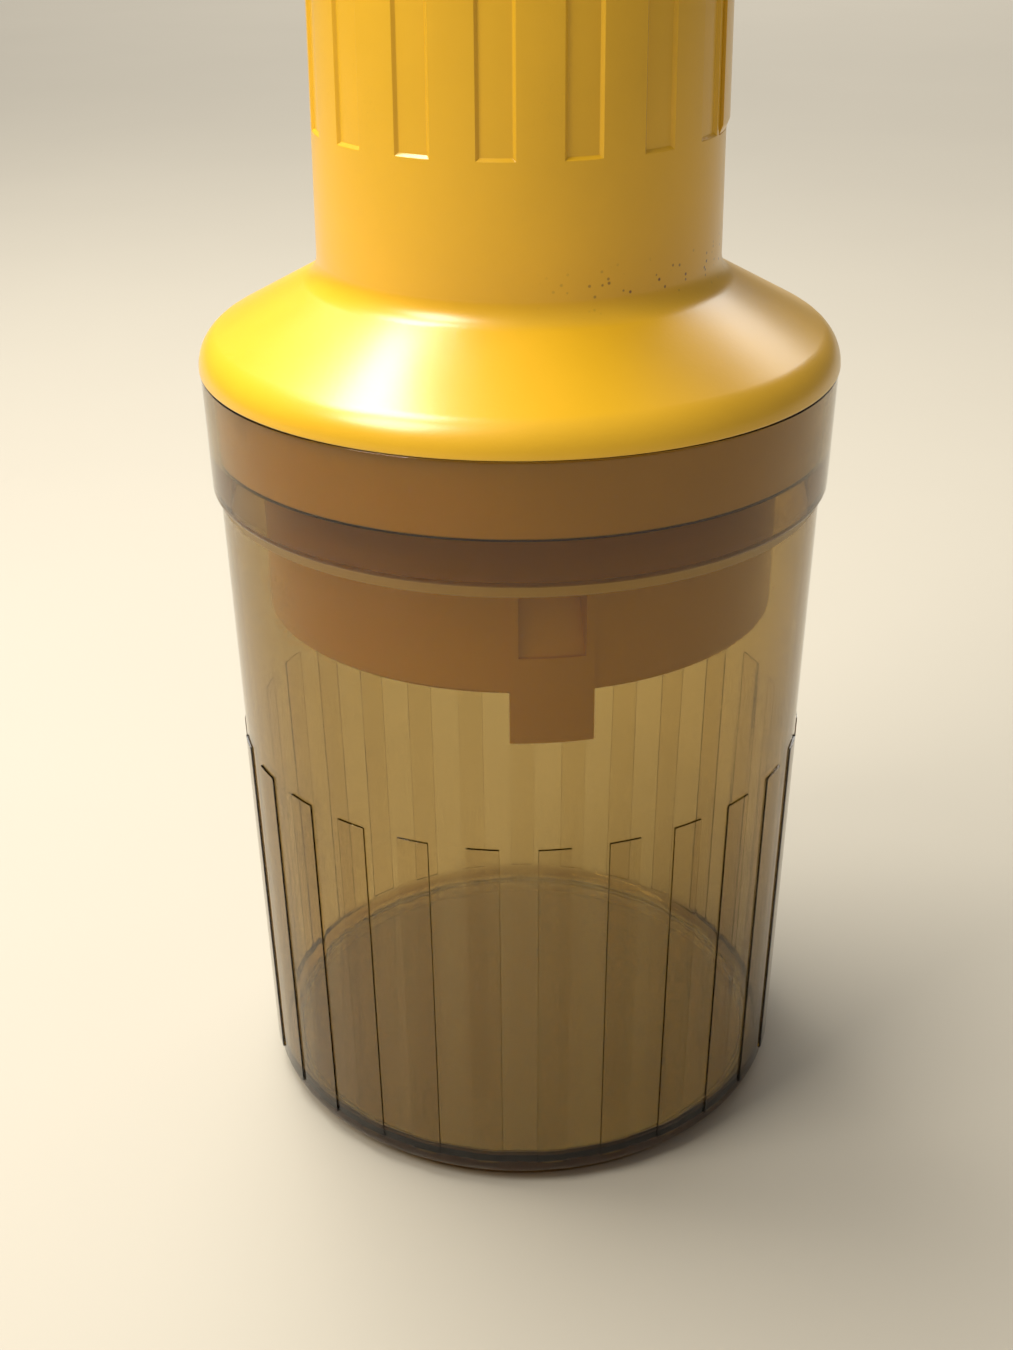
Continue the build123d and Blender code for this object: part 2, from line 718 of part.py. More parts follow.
with BuildPart() as milling_chamber:
    with BuildSketch(Plane.XY.offset(bed_stone_bottom)):
        Circle(chamber_outer)
        with PolarLocations(ear_circle, tripod_count, start_angle=tripod_start):
            Circle(ear_radius)
        with PolarLocations((chamber_outer + ear_circle) / 2, tripod_count, start_angle=tripod_start):
            Rectangle(ear_circle - chamber_outer + chamber_wall, 2 * ear_radius)
        Circle(chamber_inner, mode=Mode.SUBTRACT)
    extrude(amount=ear_height)
    with BuildSketch(Plane.XY.offset(bed_stone_bottom + ear_height)):
        Circle(chamber_outer)
        Circle(chamber_inner, mode=Mode.SUBTRACT)
    extrude(amount=roof_bottom - bed_stone_bottom - ear_height)
    with BuildSketch(Plane.XY.offset(roof_bottom)):
        Circle(chamber_outer)
        Circle(shaft_thick_radius + shaft_room, mode=Mode.SUBTRACT)
        with Locations((0, feed_centre)):
            Rectangle(feed_width - 2 * duct_wall, feed_depth - 2 * duct_wall, mode=Mode.SUBTRACT)
    extrude(amount=chamber_roof)
    with BuildSketch(Plane.XY.offset(roof_top)):
        with PolarLocations(column_circle, tripod_count, start_angle=tripod_start):
            Circle(column_radius)
    extrude(amount=motor_plate_bottom - roof_top)
    with BuildSketch(Plane.XY.offset(motor_plate_bottom)):
        with PolarLocations(column_circle, tripod_count, start_angle=tripod_start):
            Circle(m3_radius)
    extrude(amount=-column_radius, mode=Mode.SUBTRACT)
    with BuildSketch(Plane.XY.offset(bed_stone_bottom)):
        with PolarLocations(ear_circle, tripod_count, start_angle=tripod_start):
            Circle(m4_radius)
    extrude(amount=ear_height / 2, mode=Mode.SUBTRACT)

with BuildPart() as shaft_seal:
    with BuildSketch(Plane.XY.offset(roof_top)):
        Circle(shaft_seal_radius)
        Circle(shaft_thick_radius + running_gap, mode=Mode.SUBTRACT)
    extrude(amount=shaft_seal_height)

with BuildPart() as flour_chute:
    with BuildSketch(Plane.XZ):
        with BuildLine():
            Polyline((drum_inner, drum_bottom - chute_drop),
                     (drum_radius + chute_proud, drum_bottom - chute_drop),
                     (drum_radius + chute_proud, cover_bottom), (drum_inner, cover_bottom),
                     (drum_inner, pocket_top + drum_wall),
                     (drum_inner - pocket_depth, pocket_top + drum_wall),
                     (drum_inner - pocket_depth, pocket_top),
                     (drum_inner, pocket_bottom), close=True)
        make_face()
    revolve(axis=Axis.Z, revolution_arc=chute_angle)

with BuildPart() as chute_pocket:
    with BuildSketch(Plane.XZ):
        with BuildLine():
            Polyline((drum_radius, pocket_bottom),
                     (drum_radius + chute_proud + cut_margin, pocket_bottom),
                     (drum_radius + chute_proud + cut_margin, pocket_top),
                     (drum_radius - pocket_depth, pocket_top), close=True)
        make_face()
    revolve(axis=Axis.Z, revolution_arc=pocket_angle)

with BuildPart() as underside_cover:
    with BuildSketch(Plane.XY.offset(cover_bottom)):
        Circle(collar_inner(skirt_bottom) - slip_gap - skirt_wall - fit_gap)
        Circle(chamber_outer + fit_gap, mode=Mode.SUBTRACT)
        with PolarLocations(ear_circle, tripod_count, start_angle=tripod_start):
            Circle(ear_radius + fit_gap, mode=Mode.SUBTRACT)
        with PolarLocations((chamber_outer + ear_circle) / 2, tripod_count, start_angle=tripod_start):
            Rectangle(ear_circle - chamber_outer + chamber_wall, 2 * (ear_radius + fit_gap),
                      mode=Mode.SUBTRACT)
        with PolarLocations(cover_post_circle, tripod_count, start_angle=tripod_start):
            Circle(m3_radius + screw_hole_room, mode=Mode.SUBTRACT)
    extrude(amount=cover_thickness)
    with BuildSketch(Plane.XZ) as drum:
        with BuildLine():
            Polyline((drum_inner, drum_bottom), (drum_radius, drum_bottom),
                     (drum_radius, cover_bottom), (drum_inner, cover_bottom), close=True)
        make_face()
        fillet(corner(drum, drum_radius, drum_bottom), drum_edge_radius)
    revolve(axis=Axis.Z)
    add(flour_chute.part.rotate(Axis.Z, -90 + chute_turn - chute_angle / 2))
    add(chute_pocket.part.rotate(Axis.Z, -90 + chute_turn - pocket_angle / 2), mode=Mode.SUBTRACT)


# ------------------------------------------------------------------ motor
with BuildPart() as motor_plate:
    with BuildSketch(Plane.XY.offset(motor_plate_bottom)):
        Circle(motor_plate_radius)
        with Locations((0, duct_centre)):
            Rectangle(duct_width + 2 * fit_gap, 2 * duct_depth + 2 * fit_gap, mode=Mode.SUBTRACT)
    extrude(amount=motor_plate_thickness)
    with BuildSketch(Plane.XY.offset(motor_plate_top)):
        Circle(motor_hub_radius)
    extrude(amount=motor_hub_height)
    with BuildSketch(Plane.XY.offset(motor_plate_bottom)):
        Circle(shaft_thick_radius + shaft_room)
        with PolarLocations(column_circle, tripod_count, start_angle=tripod_start):
            Circle(m3_radius + screw_hole_room)
        with PolarLocations(mount_circle, tripod_count, start_angle=tripod_start):
            Circle(m4_radius + screw_hole_room)
    extrude(amount=motor_plate_thickness + motor_hub_height, mode=Mode.SUBTRACT)
    with BuildSketch(Plane.XY.offset(lower_bearing_bottom)):
        Circle(bearing_outer + running_gap)
    extrude(amount=motor_hub_height, mode=Mode.SUBTRACT)

with BuildPart() as rubber_mounts:
    with BuildSketch(Plane.XY.offset(motor_plate_top)):
        with PolarLocations(mount_circle, tripod_count, start_angle=tripod_start):
            Circle(mount_radius)
            Circle(m4_radius + screw_hole_room, mode=Mode.SUBTRACT)
    extrude(amount=mount_height)

with BuildPart() as lower_bearing:
    add(ball_bearing(lower_bearing_bottom))

with BuildPart() as stator_core:
    with BuildSketch(Plane.XY.offset(stator_bottom)):
        Circle(stator_bore + pole_shoe)
        Rectangle(2 * stator_window_x, 2 * pole_shoe_half_height, mode=Mode.INTERSECT)
        Rectangle(2 * stator_window_x, 2 * pole_half_width)
    extrude(amount=stator_stack)
    with BuildSketch(Plane.XY.offset(stator_bottom)):
        Circle(stator_radius)
        Rectangle(2 * stator_radius, 2 * stator_half_width, mode=Mode.INTERSECT)
        Rectangle(2 * stator_window_x, 2 * stator_window_y, mode=Mode.SUBTRACT)
    extrude(amount=stator_stack)
    with BuildSketch(Plane.XY.offset(stator_bottom)):
        Circle(stator_bore)
        for side_x in (-post_x, post_x):
            for side_y in (-post_y, post_y):
                with Locations((side_x, side_y)):
                    Circle(post_radius + running_gap)
    extrude(amount=stator_stack, mode=Mode.SUBTRACT)

coil_outer_edge = stator_window_x - coil_room
coil_inner_edge = coil_outer_edge - coil_thickness
with BuildPart() as field_coils:
    for coil_start in (coil_inner_edge, -coil_outer_edge):
        with BuildSketch(Plane.YZ.offset(coil_start)):
            with Locations((0, stator_middle)):
                RectangleRounded(2 * (pole_half_width + coil_room + coil_width),
                                 stator_stack + 2 * coil_overhang, coil_width - winding_round)
                RectangleRounded(2 * (pole_half_width + coil_room), stator_stack + 2 * coil_room,
                                 coil_room, mode=Mode.SUBTRACT)
        extrude(amount=coil_thickness)

with BuildPart() as motor_posts:
    for side_x in (-post_x, post_x):
        for side_y in (-post_y, post_y):
            with BuildSketch(Plane.XY.offset(motor_plate_top)):
                with Locations((side_x, side_y)):
                    Circle(post_radius)
            extrude(amount=bracket_top - motor_plate_top)
            with BuildSketch(Plane.XY.offset(bracket_top)):
                with Locations((side_x, side_y)):
                    RegularPolygon(sleeve_radius, 6)
            extrude(amount=m4_head_height)

with BuildPart() as post_sleeves:
    for low, high in ((motor_plate_top, stator_bottom), (stator_top, bracket_bottom)):
        with BuildSketch(Plane.XY.offset(low)):
            for side_x in (-post_x, post_x):
                for side_y in (-post_y, post_y):
                    with Locations((side_x, side_y)):
                        Circle(sleeve_radius)
                        Circle(post_radius + running_gap, mode=Mode.SUBTRACT)
        extrude(amount=high - low)

with BuildPart() as upper_bracket:
    with BuildSketch(Plane.XY.offset(bracket_bottom)):
        Circle(stator_radius)
        Rectangle(2 * (post_x + sleeve_radius), 2 * stator_half_width, mode=Mode.INTERSECT)
        for side_x in (-post_x, post_x):
            for side_y in (-post_y, post_y):
                with Locations((side_x, side_y)):
                    Circle(post_radius + running_gap, mode=Mode.SUBTRACT)
    extrude(amount=bracket_thickness)
    with BuildSketch(Plane.XY.offset(bracket_bottom)):
        Circle(bracket_bore + bracket_hub_wall)
    extrude(amount=bracket_hub_height)
    with BuildSketch(Plane.XY.offset(bracket_bottom)):
        Circle(bracket_bore)
    extrude(amount=bracket_hub_height, mode=Mode.SUBTRACT)

brush_level = commutator_bottom + commutator_length / 2
brush_start = commutator_radius + brush_gap
holder_start = commutator_radius + 2 * fit_gap
holder_bottom = brush_level - brush_height / 2 - brush_holder_floor
with BuildPart() as brush_holders:
    for facing in (1, -1):
        across = Plane(origin=(0, facing * holder_start, 0), x_dir=(-facing, 0, 0), z_dir=(0, facing, 0))
        with BuildSketch(across):
            with Locations((0, holder_bottom)):
                Rectangle(brush_holder_width, bracket_bottom - holder_bottom,
                          align=(Align.CENTER, Align.MIN))
        extrude(amount=brush_holder_length)
    for facing in (1, -1):
        across = Plane(origin=(0, facing * holder_start, 0), x_dir=(-facing, 0, 0), z_dir=(0, facing, 0))
        with BuildSketch(across):
            with Locations((0, brush_level)):
                Rectangle(brush_width + 2 * running_gap, brush_height + 2 * running_gap)
        extrude(amount=brush_holder_length - bearing_ring, mode=Mode.SUBTRACT)

with BuildPart() as carbon_brushes:
    for facing in (1, -1):
        across = Plane(origin=(0, facing * brush_start, 0), x_dir=(-facing, 0, 0), z_dir=(0, facing, 0))
        with BuildSketch(across):
            with Locations((0, brush_level)):
                Rectangle(brush_width, brush_height)
        extrude(amount=brush_length)


# ------------------------------------------------------------------ rotor
shaft_bottom = boss_bottom - nut_height - fit_gap
shaft_step = motor_plate_top
with BuildPart() as motor_shaft:
    with BuildSketch(Plane.XZ):
        with BuildLine():
            Polyline((0, shaft_bottom), (bearing_bore, shaft_bottom), (bearing_bore, boss_top),
                     (shaft_thick_radius, boss_top), (shaft_thick_radius, shaft_step),
                     (bearing_bore, shaft_step), (bearing_bore, upper_bearing_top),
                     (0, upper_bearing_top), close=True)
        make_face()
    revolve(axis=Axis.Z)

with BuildPart() as shaft_nut:
    with BuildSketch(Plane.XY.offset(boss_bottom - nut_height)):
        RegularPolygon(nut_radius, 6)
        Circle(bearing_bore, mode=Mode.SUBTRACT)
    extrude(amount=nut_height)

with BuildPart() as armature_core:
    with BuildSketch(Plane.XY.offset(armature_bottom)):
        Circle(armature_radius)
        with PolarLocations(armature_radius - slot_depth / 2, slot_count):
            Rectangle(slot_depth, slot_width, mode=Mode.SUBTRACT)
        Circle(bearing_bore, mode=Mode.SUBTRACT)
    extrude(amount=armature_length)

with BuildPart() as armature_windings:
    for low in (armature_bottom - winding_length + running_gap, armature_top):
        with BuildSketch(Plane.XY.offset(low)):
            Circle(winding_radius)
        extrude(amount=winding_length - running_gap)
    winding_rims = armature_windings.edges().filter_by(GeomType.CIRCLE)
    fillet(winding_rims, winding_round)
    with BuildSketch(Plane.XY.offset(armature_bottom - winding_length)):
        Circle(bearing_bore)
    extrude(amount=armature_length + 2 * winding_length, mode=Mode.SUBTRACT)

with BuildPart() as commutator:
    with BuildSketch(Plane.XY.offset(commutator_bottom)):
        Circle(commutator_radius)
        with PolarLocations(commutator_radius, commutator_bars):
            Rectangle(2 * commutator_groove, commutator_groove, mode=Mode.SUBTRACT)
        Circle(bearing_bore, mode=Mode.SUBTRACT)
    extrude(amount=commutator_length)

with BuildPart() as cooling_fan:
    with BuildSketch(Plane.XY.offset(fan_bottom)):
        Circle(fan_radius)
        Circle(bearing_bore, mode=Mode.SUBTRACT)
    extrude(amount=fan_disc)
    with BuildSketch(Plane.XY.offset(fan_bottom)):
        Circle(fan_hub_radius)
        Circle(bearing_bore, mode=Mode.SUBTRACT)
    extrude(amount=fan_height)
    with BuildSketch(Plane.XY.offset(fan_bottom + fan_disc)):
        with PolarLocations((fan_hub_radius + fan_radius) / 2 - fan_blade_inset, fan_blade_count):
            Rectangle(fan_radius - fan_hub_radius, fan_blade_thickness)
    extrude(amount=fan_height - fan_disc)


# ------------------------------------------------------------------ grain duct
feed_level = roof_top
duct_turn = motor_plate_top + fit_gap
with BuildPart() as grain_duct:
    with BuildSketch(Plane.XY.offset(duct_turn)):
        with Locations((0, duct_centre)):
            Rectangle(duct_width, duct_depth)
    extrude(amount=duct_top - duct_turn)
    with BuildSketch(Plane.XY.offset(feed_level)):
        with Locations((0, feed_centre)):
            Rectangle(feed_width, feed_depth)
    with BuildSketch(Plane.XY.offset(duct_turn)):
        with Locations((0, duct_centre)):
            Rectangle(duct_width, duct_depth)
    loft()
    with BuildSketch(Plane.XY.offset(duct_turn)):
        with Locations((0, duct_centre)):
            Rectangle(duct_width - 2 * duct_wall, duct_depth - 2 * duct_wall)
    extrude(amount=duct_top - duct_turn, mode=Mode.SUBTRACT)
    with BuildSketch(Plane.XY.offset(feed_level)):
        with Locations((0, feed_centre)):
            Rectangle(feed_width - 2 * duct_wall, feed_depth - 2 * duct_wall)
    with BuildSketch(Plane.XY.offset(duct_turn)):
        with Locations((0, duct_centre)):
            Rectangle(duct_width - 2 * duct_wall, duct_depth - 2 * duct_wall)
    loft(mode=Mode.SUBTRACT)


# ------------------------------------------------------------------ fineness adjustment
with BuildPart() as lift_bridge:
    with BuildSketch(Plane.XY.offset(bridge_sleeve_bottom)):
        Circle(bridge_sleeve_radius)
    extrude(amount=bridge_bottom - bridge_sleeve_bottom)
    with BuildSketch(Plane.XY.offset(bridge_bottom)):
        Circle(bridge_sleeve_radius)
        Rectangle(2 * bridge_reach, bridge_width)
        Circle(bridge_reach, mode=Mode.INTERSECT)
    extrude(amount=bridge_thickness)
    with BuildSketch(Plane.XY.offset(bridge_sleeve_bottom)):
        Circle(bearing_bore + shaft_room)
    extrude(amount=upper_bearing_top - bridge_sleeve_bottom, mode=Mode.SUBTRACT)
    with BuildSketch(Plane.XY.offset(upper_bearing_bottom)):
        Circle(bearing_outer + running_gap)
    extrude(amount=bearing_width, mode=Mode.SUBTRACT)

with BuildPart() as upper_bearing:
    add(ball_bearing(upper_bearing_bottom))

spring_bottom = bracket_hub_top + spring_wire / 2
spring_top = bridge_bottom - spring_wire / 2
with BuildPart() as lift_spring:
    with BuildLine():
        coil_line = Helix((spring_top - spring_bottom) / spring_turns, spring_top - spring_bottom,
                          spring_radius, center=(0, 0, spring_bottom))
    with BuildSketch(Plane(origin=coil_line @ 0, z_dir=coil_line % 0)):
        Circle(spring_wire / 2)
    sweep()

ring_inner = spigot_radius + fit_gap
groove_bottom = bridge_bottom - fit_gap
groove_top = bridge_top + lift_travel + fit_gap
groove_radius = bridge_reach + 2 * fit_gap
with BuildPart() as fineness_ring:
    with BuildSketch(Plane.XZ):
        with BuildLine():
            Polyline((ring_inner, adjust_ring_bottom), (adjust_ring_radius, adjust_ring_bottom),
                     (adjust_ring_radius, adjust_ring_top), (ring_inner, adjust_ring_top),
                     (ring_inner, groove_top), (groove_radius, groove_top),
                     (groove_radius, groove_bottom), (ring_inner, groove_bottom), close=True)
        make_face()
    revolve(axis=Axis.Z)
    ring_rims = fineness_ring.edges().filter_by(GeomType.CIRCLE).group_by(SortBy.RADIUS)[-1]
    fillet(ring_rims, rim_edge_radius)
    with BuildSketch(Plane.XY.offset(adjust_ring_top - adjust_grip_height)):
        with PolarLocations(adjust_ring_radius + adjust_grip_radius / 2, adjust_grip_count):
            Circle(adjust_grip_radius)
    extrude(amount=adjust_grip_height, mode=Mode.SUBTRACT)


# ------------------------------------------------------------------ hopper
with BuildPart() as hopper_shell:
    with BuildSketch(Plane.XZ) as bowl_outside:
        with BuildLine():
            Polyline((0, shell_bottom), (shell_neck_radius, shell_bottom),
                     (shell_neck_radius, shell_flare_bottom), (shell_rim_radius, shell_flare_top),
                     (shell_rim_radius, shell_rim_top), (0, shell_rim_top), close=True)
        make_face()
        fillet(corner(bowl_outside, shell_neck_radius, shell_flare_bottom), shell_round)
        fillet(corner(bowl_outside, shell_rim_radius, shell_flare_top), shell_round)
        fillet(corner(bowl_outside, shell_rim_radius, shell_rim_top), rim_edge_radius)
    revolve(axis=Axis.Z)
    shell_inset = shell_wall * tan(radians(shell_flare / 2))
    with BuildSketch(Plane.XZ) as bowl_inside:
        with BuildLine():
            Polyline((0, shell_bottom + shell_flange),
                     (shell_neck_radius - shell_wall, shell_bottom + shell_flange),
                     (shell_neck_radius - shell_wall, shell_flare_bottom + shell_inset),
                     (shell_rim_radius - shell_wall, shell_flare_top + shell_inset),
                     (shell_rim_radius - shell_wall, shell_rim_top), (0, shell_rim_top), close=True)
        make_face()
        fillet(corner(bowl_inside, shell_neck_radius - shell_wall, shell_flare_bottom + shell_inset),
               shell_round + shell_wall)
        fillet(corner(bowl_inside, shell_rim_radius - shell_wall, shell_flare_top + shell_inset),
               shell_round - shell_wall)
    revolve(axis=Axis.Z, mode=Mode.SUBTRACT)
    with BuildSketch(Plane.XY.offset(housing_top)):
        Circle(spigot_radius)
    extrude(amount=shell_bottom - housing_top)
    with BuildSketch(Plane.XY.offset(housing_top + shell_flange)):
        Circle(spigot_radius - spigot_wall)
    extrude(amount=shell_bottom - housing_top - shell_flange, mode=Mode.SUBTRACT)
    with BuildSketch(Plane.XY.offset(housing_top)):
        Circle(shell_flange_inner)
        with Locations((0, duct_centre)):
            Rectangle(duct_width + 2 * fit_gap, duct_depth + 2 * fit_gap)
        with PolarLocations(shell_screw_circle, tripod_count, start_angle=tripod_start):
            Circle(m3_radius + screw_hole_room)
    extrude(amount=shell_flange, mode=Mode.SUBTRACT)
    with BuildSketch(Plane.XY.offset(shell_bottom)):
        with Locations((0, duct_centre)):
            Rectangle(duct_width - 2 * duct_wall, duct_depth - 2 * duct_wall)
    extrude(amount=shell_flange, mode=Mode.SUBTRACT)
    with BuildSketch(Plane.XY.offset(groove_bottom)):
        Rectangle(2 * (spigot_radius + cut_margin), bridge_width + 2 * fit_gap)
    extrude(amount=groove_top - groove_bottom, mode=Mode.SUBTRACT)

with BuildPart() as grain_hopper:
    with BuildSketch(Plane.XY.offset(outlet_top)):
        with Locations((0, duct_centre)):
            Rectangle(duct_width, duct_depth)
    with BuildSketch(Plane.XY.offset(funnel_mouth)):
        Circle(hopper_radius)
    loft()
    with BuildSketch(Plane.XY.offset(outlet_top - outlet_height)):
        with Locations((0, duct_centre)):
            Rectangle(duct_width, duct_depth)
    extrude(amount=outlet_height)
    with BuildSketch(Plane.XY.offset(outlet_top + funnel_lift)):
        with Locations((0, duct_centre)):
            Rectangle(duct_width - 2 * duct_wall, duct_depth - 2 * duct_wall)
    with BuildSketch(Plane.XY.offset(funnel_mouth + funnel_lift)):
        Circle(hopper_radius - hopper_wall)
    loft(mode=Mode.SUBTRACT)
    with BuildSketch(Plane.XY.offset(outlet_top - outlet_height)):
        with Locations((0, duct_centre)):
            Rectangle(duct_width - 2 * duct_wall, duct_depth - 2 * duct_wall)
    extrude(amount=outlet_height + funnel_lift, mode=Mode.SUBTRACT)
    with BuildSketch(Plane.XY.offset(shell_rim_top - hopper_skirt_depth)):
        Circle(hopper_radius)
        Circle(hopper_radius - hopper_wall, mode=Mode.SUBTRACT)
    extrude(amount=hopper_top - shell_rim_top + hopper_skirt_depth)
    with BuildSketch(Plane.XY.offset(shell_rim_top + seat_gap)):
        Circle(shell_rim_radius)
        Circle(hopper_radius - hopper_wall, mode=Mode.SUBTRACT)
    extrude(amount=hopper_bead_height)

with BuildPart() as hopper_lid:
    lid_radius = hopper_radius + lid_overhang
    lid_skirt_outer = hopper_radius - hopper_wall - slip_gap
    with BuildSketch(Plane.XZ) as lid_outline:
        with BuildLine():
            Polyline((0, lid_bottom), (lid_radius, lid_bottom), (lid_radius, lid_top),
                     (knob_radius * 2, lid_top + lid_rise), (0, lid_top + lid_rise), close=True)
        make_face()
        fillet(corner(lid_outline, lid_radius, lid_top), rim_edge_radius)
    revolve(axis=Axis.Z)
    with BuildSketch(Plane.XZ):
        with BuildLine():
            Polyline((0, lid_bottom), (lid_skirt_outer - lid_skirt_wall, lid_bottom),
                     (knob_radius * 2, lid_bottom + lid_rise), (0, lid_bottom + lid_rise), close=True)
        make_face()
    revolve(axis=Axis.Z, mode=Mode.SUBTRACT)
    with BuildSketch(Plane.XY.offset(lid_bottom)):
        Circle(lid_skirt_outer)
        Circle(lid_skirt_outer - lid_skirt_wall, mode=Mode.SUBTRACT)
    extrude(amount=-lid_skirt_depth)
    with BuildSketch(Plane.XY.offset(lid_bottom)):
        Circle(m3_radius + screw_hole_room)
    extrude(amount=lid_thickness + lid_rise, mode=Mode.SUBTRACT)

with BuildPart() as lid_knob:
    with BuildSketch(Plane.XZ) as knob_outline:
        with BuildLine():
            Polyline((0, knob_bottom), (knob_neck_radius, knob_bottom),
                     (knob_neck_radius, knob_bottom + knob_height / 2 - knob_round),
                     (knob_radius, knob_bottom + knob_height / 2),
                     (knob_radius, knob_bottom + knob_height), (0, knob_bottom + knob_height), close=True)
        make_face()
        fillet(corner(knob_outline, knob_radius, knob_bottom + knob_height), knob_round)
    revolve(axis=Axis.Z)
    with BuildSketch(Plane.XY.offset(knob_bottom)):
        Circle(m3_radius)
    extrude(amount=knob_height / 2, mode=Mode.SUBTRACT)


# ------------------------------------------------------------------ electrical bits
gland_skin = housing_radius(neck_level + gland_rise)
gland_inside = gland_skin - housing_wall - gland_nut_gap
with BuildPart() as cable_gland:
    with BuildSketch(gland_out.offset(gland_skin + fit_gap / 2)):
        Circle(gland_radius)
    extrude(amount=gland_length, taper=gland_taper)
    with BuildSketch(gland_out.offset(gland_inside)):
        Circle(gland_throat)
    extrude(amount=gland_skin + fit_gap - gland_inside)
    with BuildSketch(gland_out.offset(gland_inside)):
        Circle(gland_radius)
    extrude(amount=-gland_nut_length)
    with BuildSketch(gland_out.offset(gland_inside - gland_nut_length)):
        Circle(gland_bore)
    extrude(amount=gland_skin + fit_gap / 2 + gland_length - gland_inside + gland_nut_length,
            mode=Mode.SUBTRACT)

capacitor_bottom = bracket_bottom - bracket_rise / 2
capacitor_distance = (housing_radius(capacitor_bottom + capacitor_length) - housing_wall - fit_gap
                      - capacitor_radius)
with BuildPart() as suppressor_capacitor:
    with BuildSketch(Plane.XY.offset(capacitor_bottom)):
        with Locations((capacitor_distance * cos(radians(capacitor_angle)),
                        capacitor_distance * sin(radians(capacitor_angle)))):
            Circle(capacitor_radius)
    extrude(amount=capacitor_length)

with BuildPart() as terminal_block:
    with BuildSketch(Plane.XY.offset(motor_plate_top)):
        with Locations((-terminal_distance - terminal_width / 2, 0)):
            Rectangle(terminal_width, terminal_length)
    extrude(amount=terminal_height)
    with BuildSketch(Plane.XY.offset(motor_plate_top + terminal_height)):
        with Locations((-terminal_distance - terminal_width / 2, 0)):
            with GridLocations(0, terminal_length / terminal_poles, 1, terminal_poles):
                Circle(m3_radius)
    extrude(amount=-terminal_height / 2, mode=Mode.SUBTRACT)


# ------------------------------------------------------------------ screws
with BuildPart() as plate_screws:
    with Locations(Plane.XY.offset(motor_plate_bottom)):
        with PolarLocations(mount_circle, tripod_count, start_angle=tripod_start):
            add(upturned(m4_screw_short))

with BuildPart() as ear_screws:
    with Locations(Plane.XY.offset(bed_carrier_bottom)):
        with PolarLocations(ear_circle, tripod_count, start_angle=tripod_start):
            add(upturned(m4_screw_ear))

with BuildPart() as cover_screws:
    with Locations(Plane.XY.offset(cover_bottom)):
        with PolarLocations(cover_post_circle, tripod_count, start_angle=tripod_start):
            add(upturned(m3_screw_cover))

with BuildPart() as column_screws:
    with Locations(Plane.XY.offset(motor_plate_top)):
        with PolarLocations(column_circle, tripod_count, start_angle=tripod_start):
            add(m3_screw_column)

with BuildPart() as shell_screws:
    with Locations(Plane.XY.offset(housing_top + shell_flange)):
        with PolarLocations(shell_screw_circle, tripod_count, start_angle=tripod_start):
            add(m3_screw_shell)

with BuildPart() as knob_screw:
    with Locations(Plane.XY.offset(lid_bottom + lid_rise)):
        add(upturned(m3_screw_knob))


# ------------------------------------------------------------------ write one file per node
nodes = {
    "flour_container": flour_container, "motor_housing": motor_housing, "switch_panel": switch_panel,
    "switch_body": switch_body, "rocker": rocker, "bed_carrier": bed_carrier, "bed_stone": bed_stone,
    "runner_stone": runner_stone, "runner_carrier": runner_carrier, "milling_chamber": milling_chamber,
    "shaft_seal": shaft_seal, "underside_cover": underside_cover, "motor_plate": motor_plate,
    "rubber_mounts": rubber_mounts, "lower_bearing": lower_bearing, "stator_core": stator_core,
    "field_coils": field_coils, "motor_posts": motor_posts, "post_sleeves": post_sleeves,
    "upper_bracket": upper_bracket, "brush_holders": brush_holders, "carbon_brushes": carbon_brushes,
    "motor_shaft": motor_shaft, "shaft_nut": shaft_nut, "armature_core": armature_core,
    "armature_windings": armature_windings, "commutator": commutator, "cooling_fan": cooling_fan,
    "grain_duct": grain_duct, "lift_bridge": lift_bridge, "upper_bearing": upper_bearing,
    "lift_spring": lift_spring, "fineness_ring": fineness_ring, "hopper_shell": hopper_shell,
    "grain_hopper": grain_hopper, "hopper_lid": hopper_lid, "lid_knob": lid_knob,
    "cable_gland": cable_gland, "suppressor_capacitor": suppressor_capacitor,
    "terminal_block": terminal_block, "plate_screws": plate_screws, "ear_screws": ear_screws,
    "cover_screws": cover_screws, "column_screws": column_screws, "shell_screws": shell_screws,
    "knob_screw": knob_screw,
}
os.makedirs("parts", exist_ok=True)
for name, piece in nodes.items():
    piece.part.label = name
    export_step(piece.part, f"parts/{name}.step")
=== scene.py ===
import json
from math import atan2, ceil, cos, degrees, log, pi, radians, sin, tan

import bpy
from bpy.props import FloatProperty, FloatVectorProperty, IntProperty, PointerProperty
from bpy.types import Operator, Panel, PropertyGroup
from mathutils import Matrix, Vector


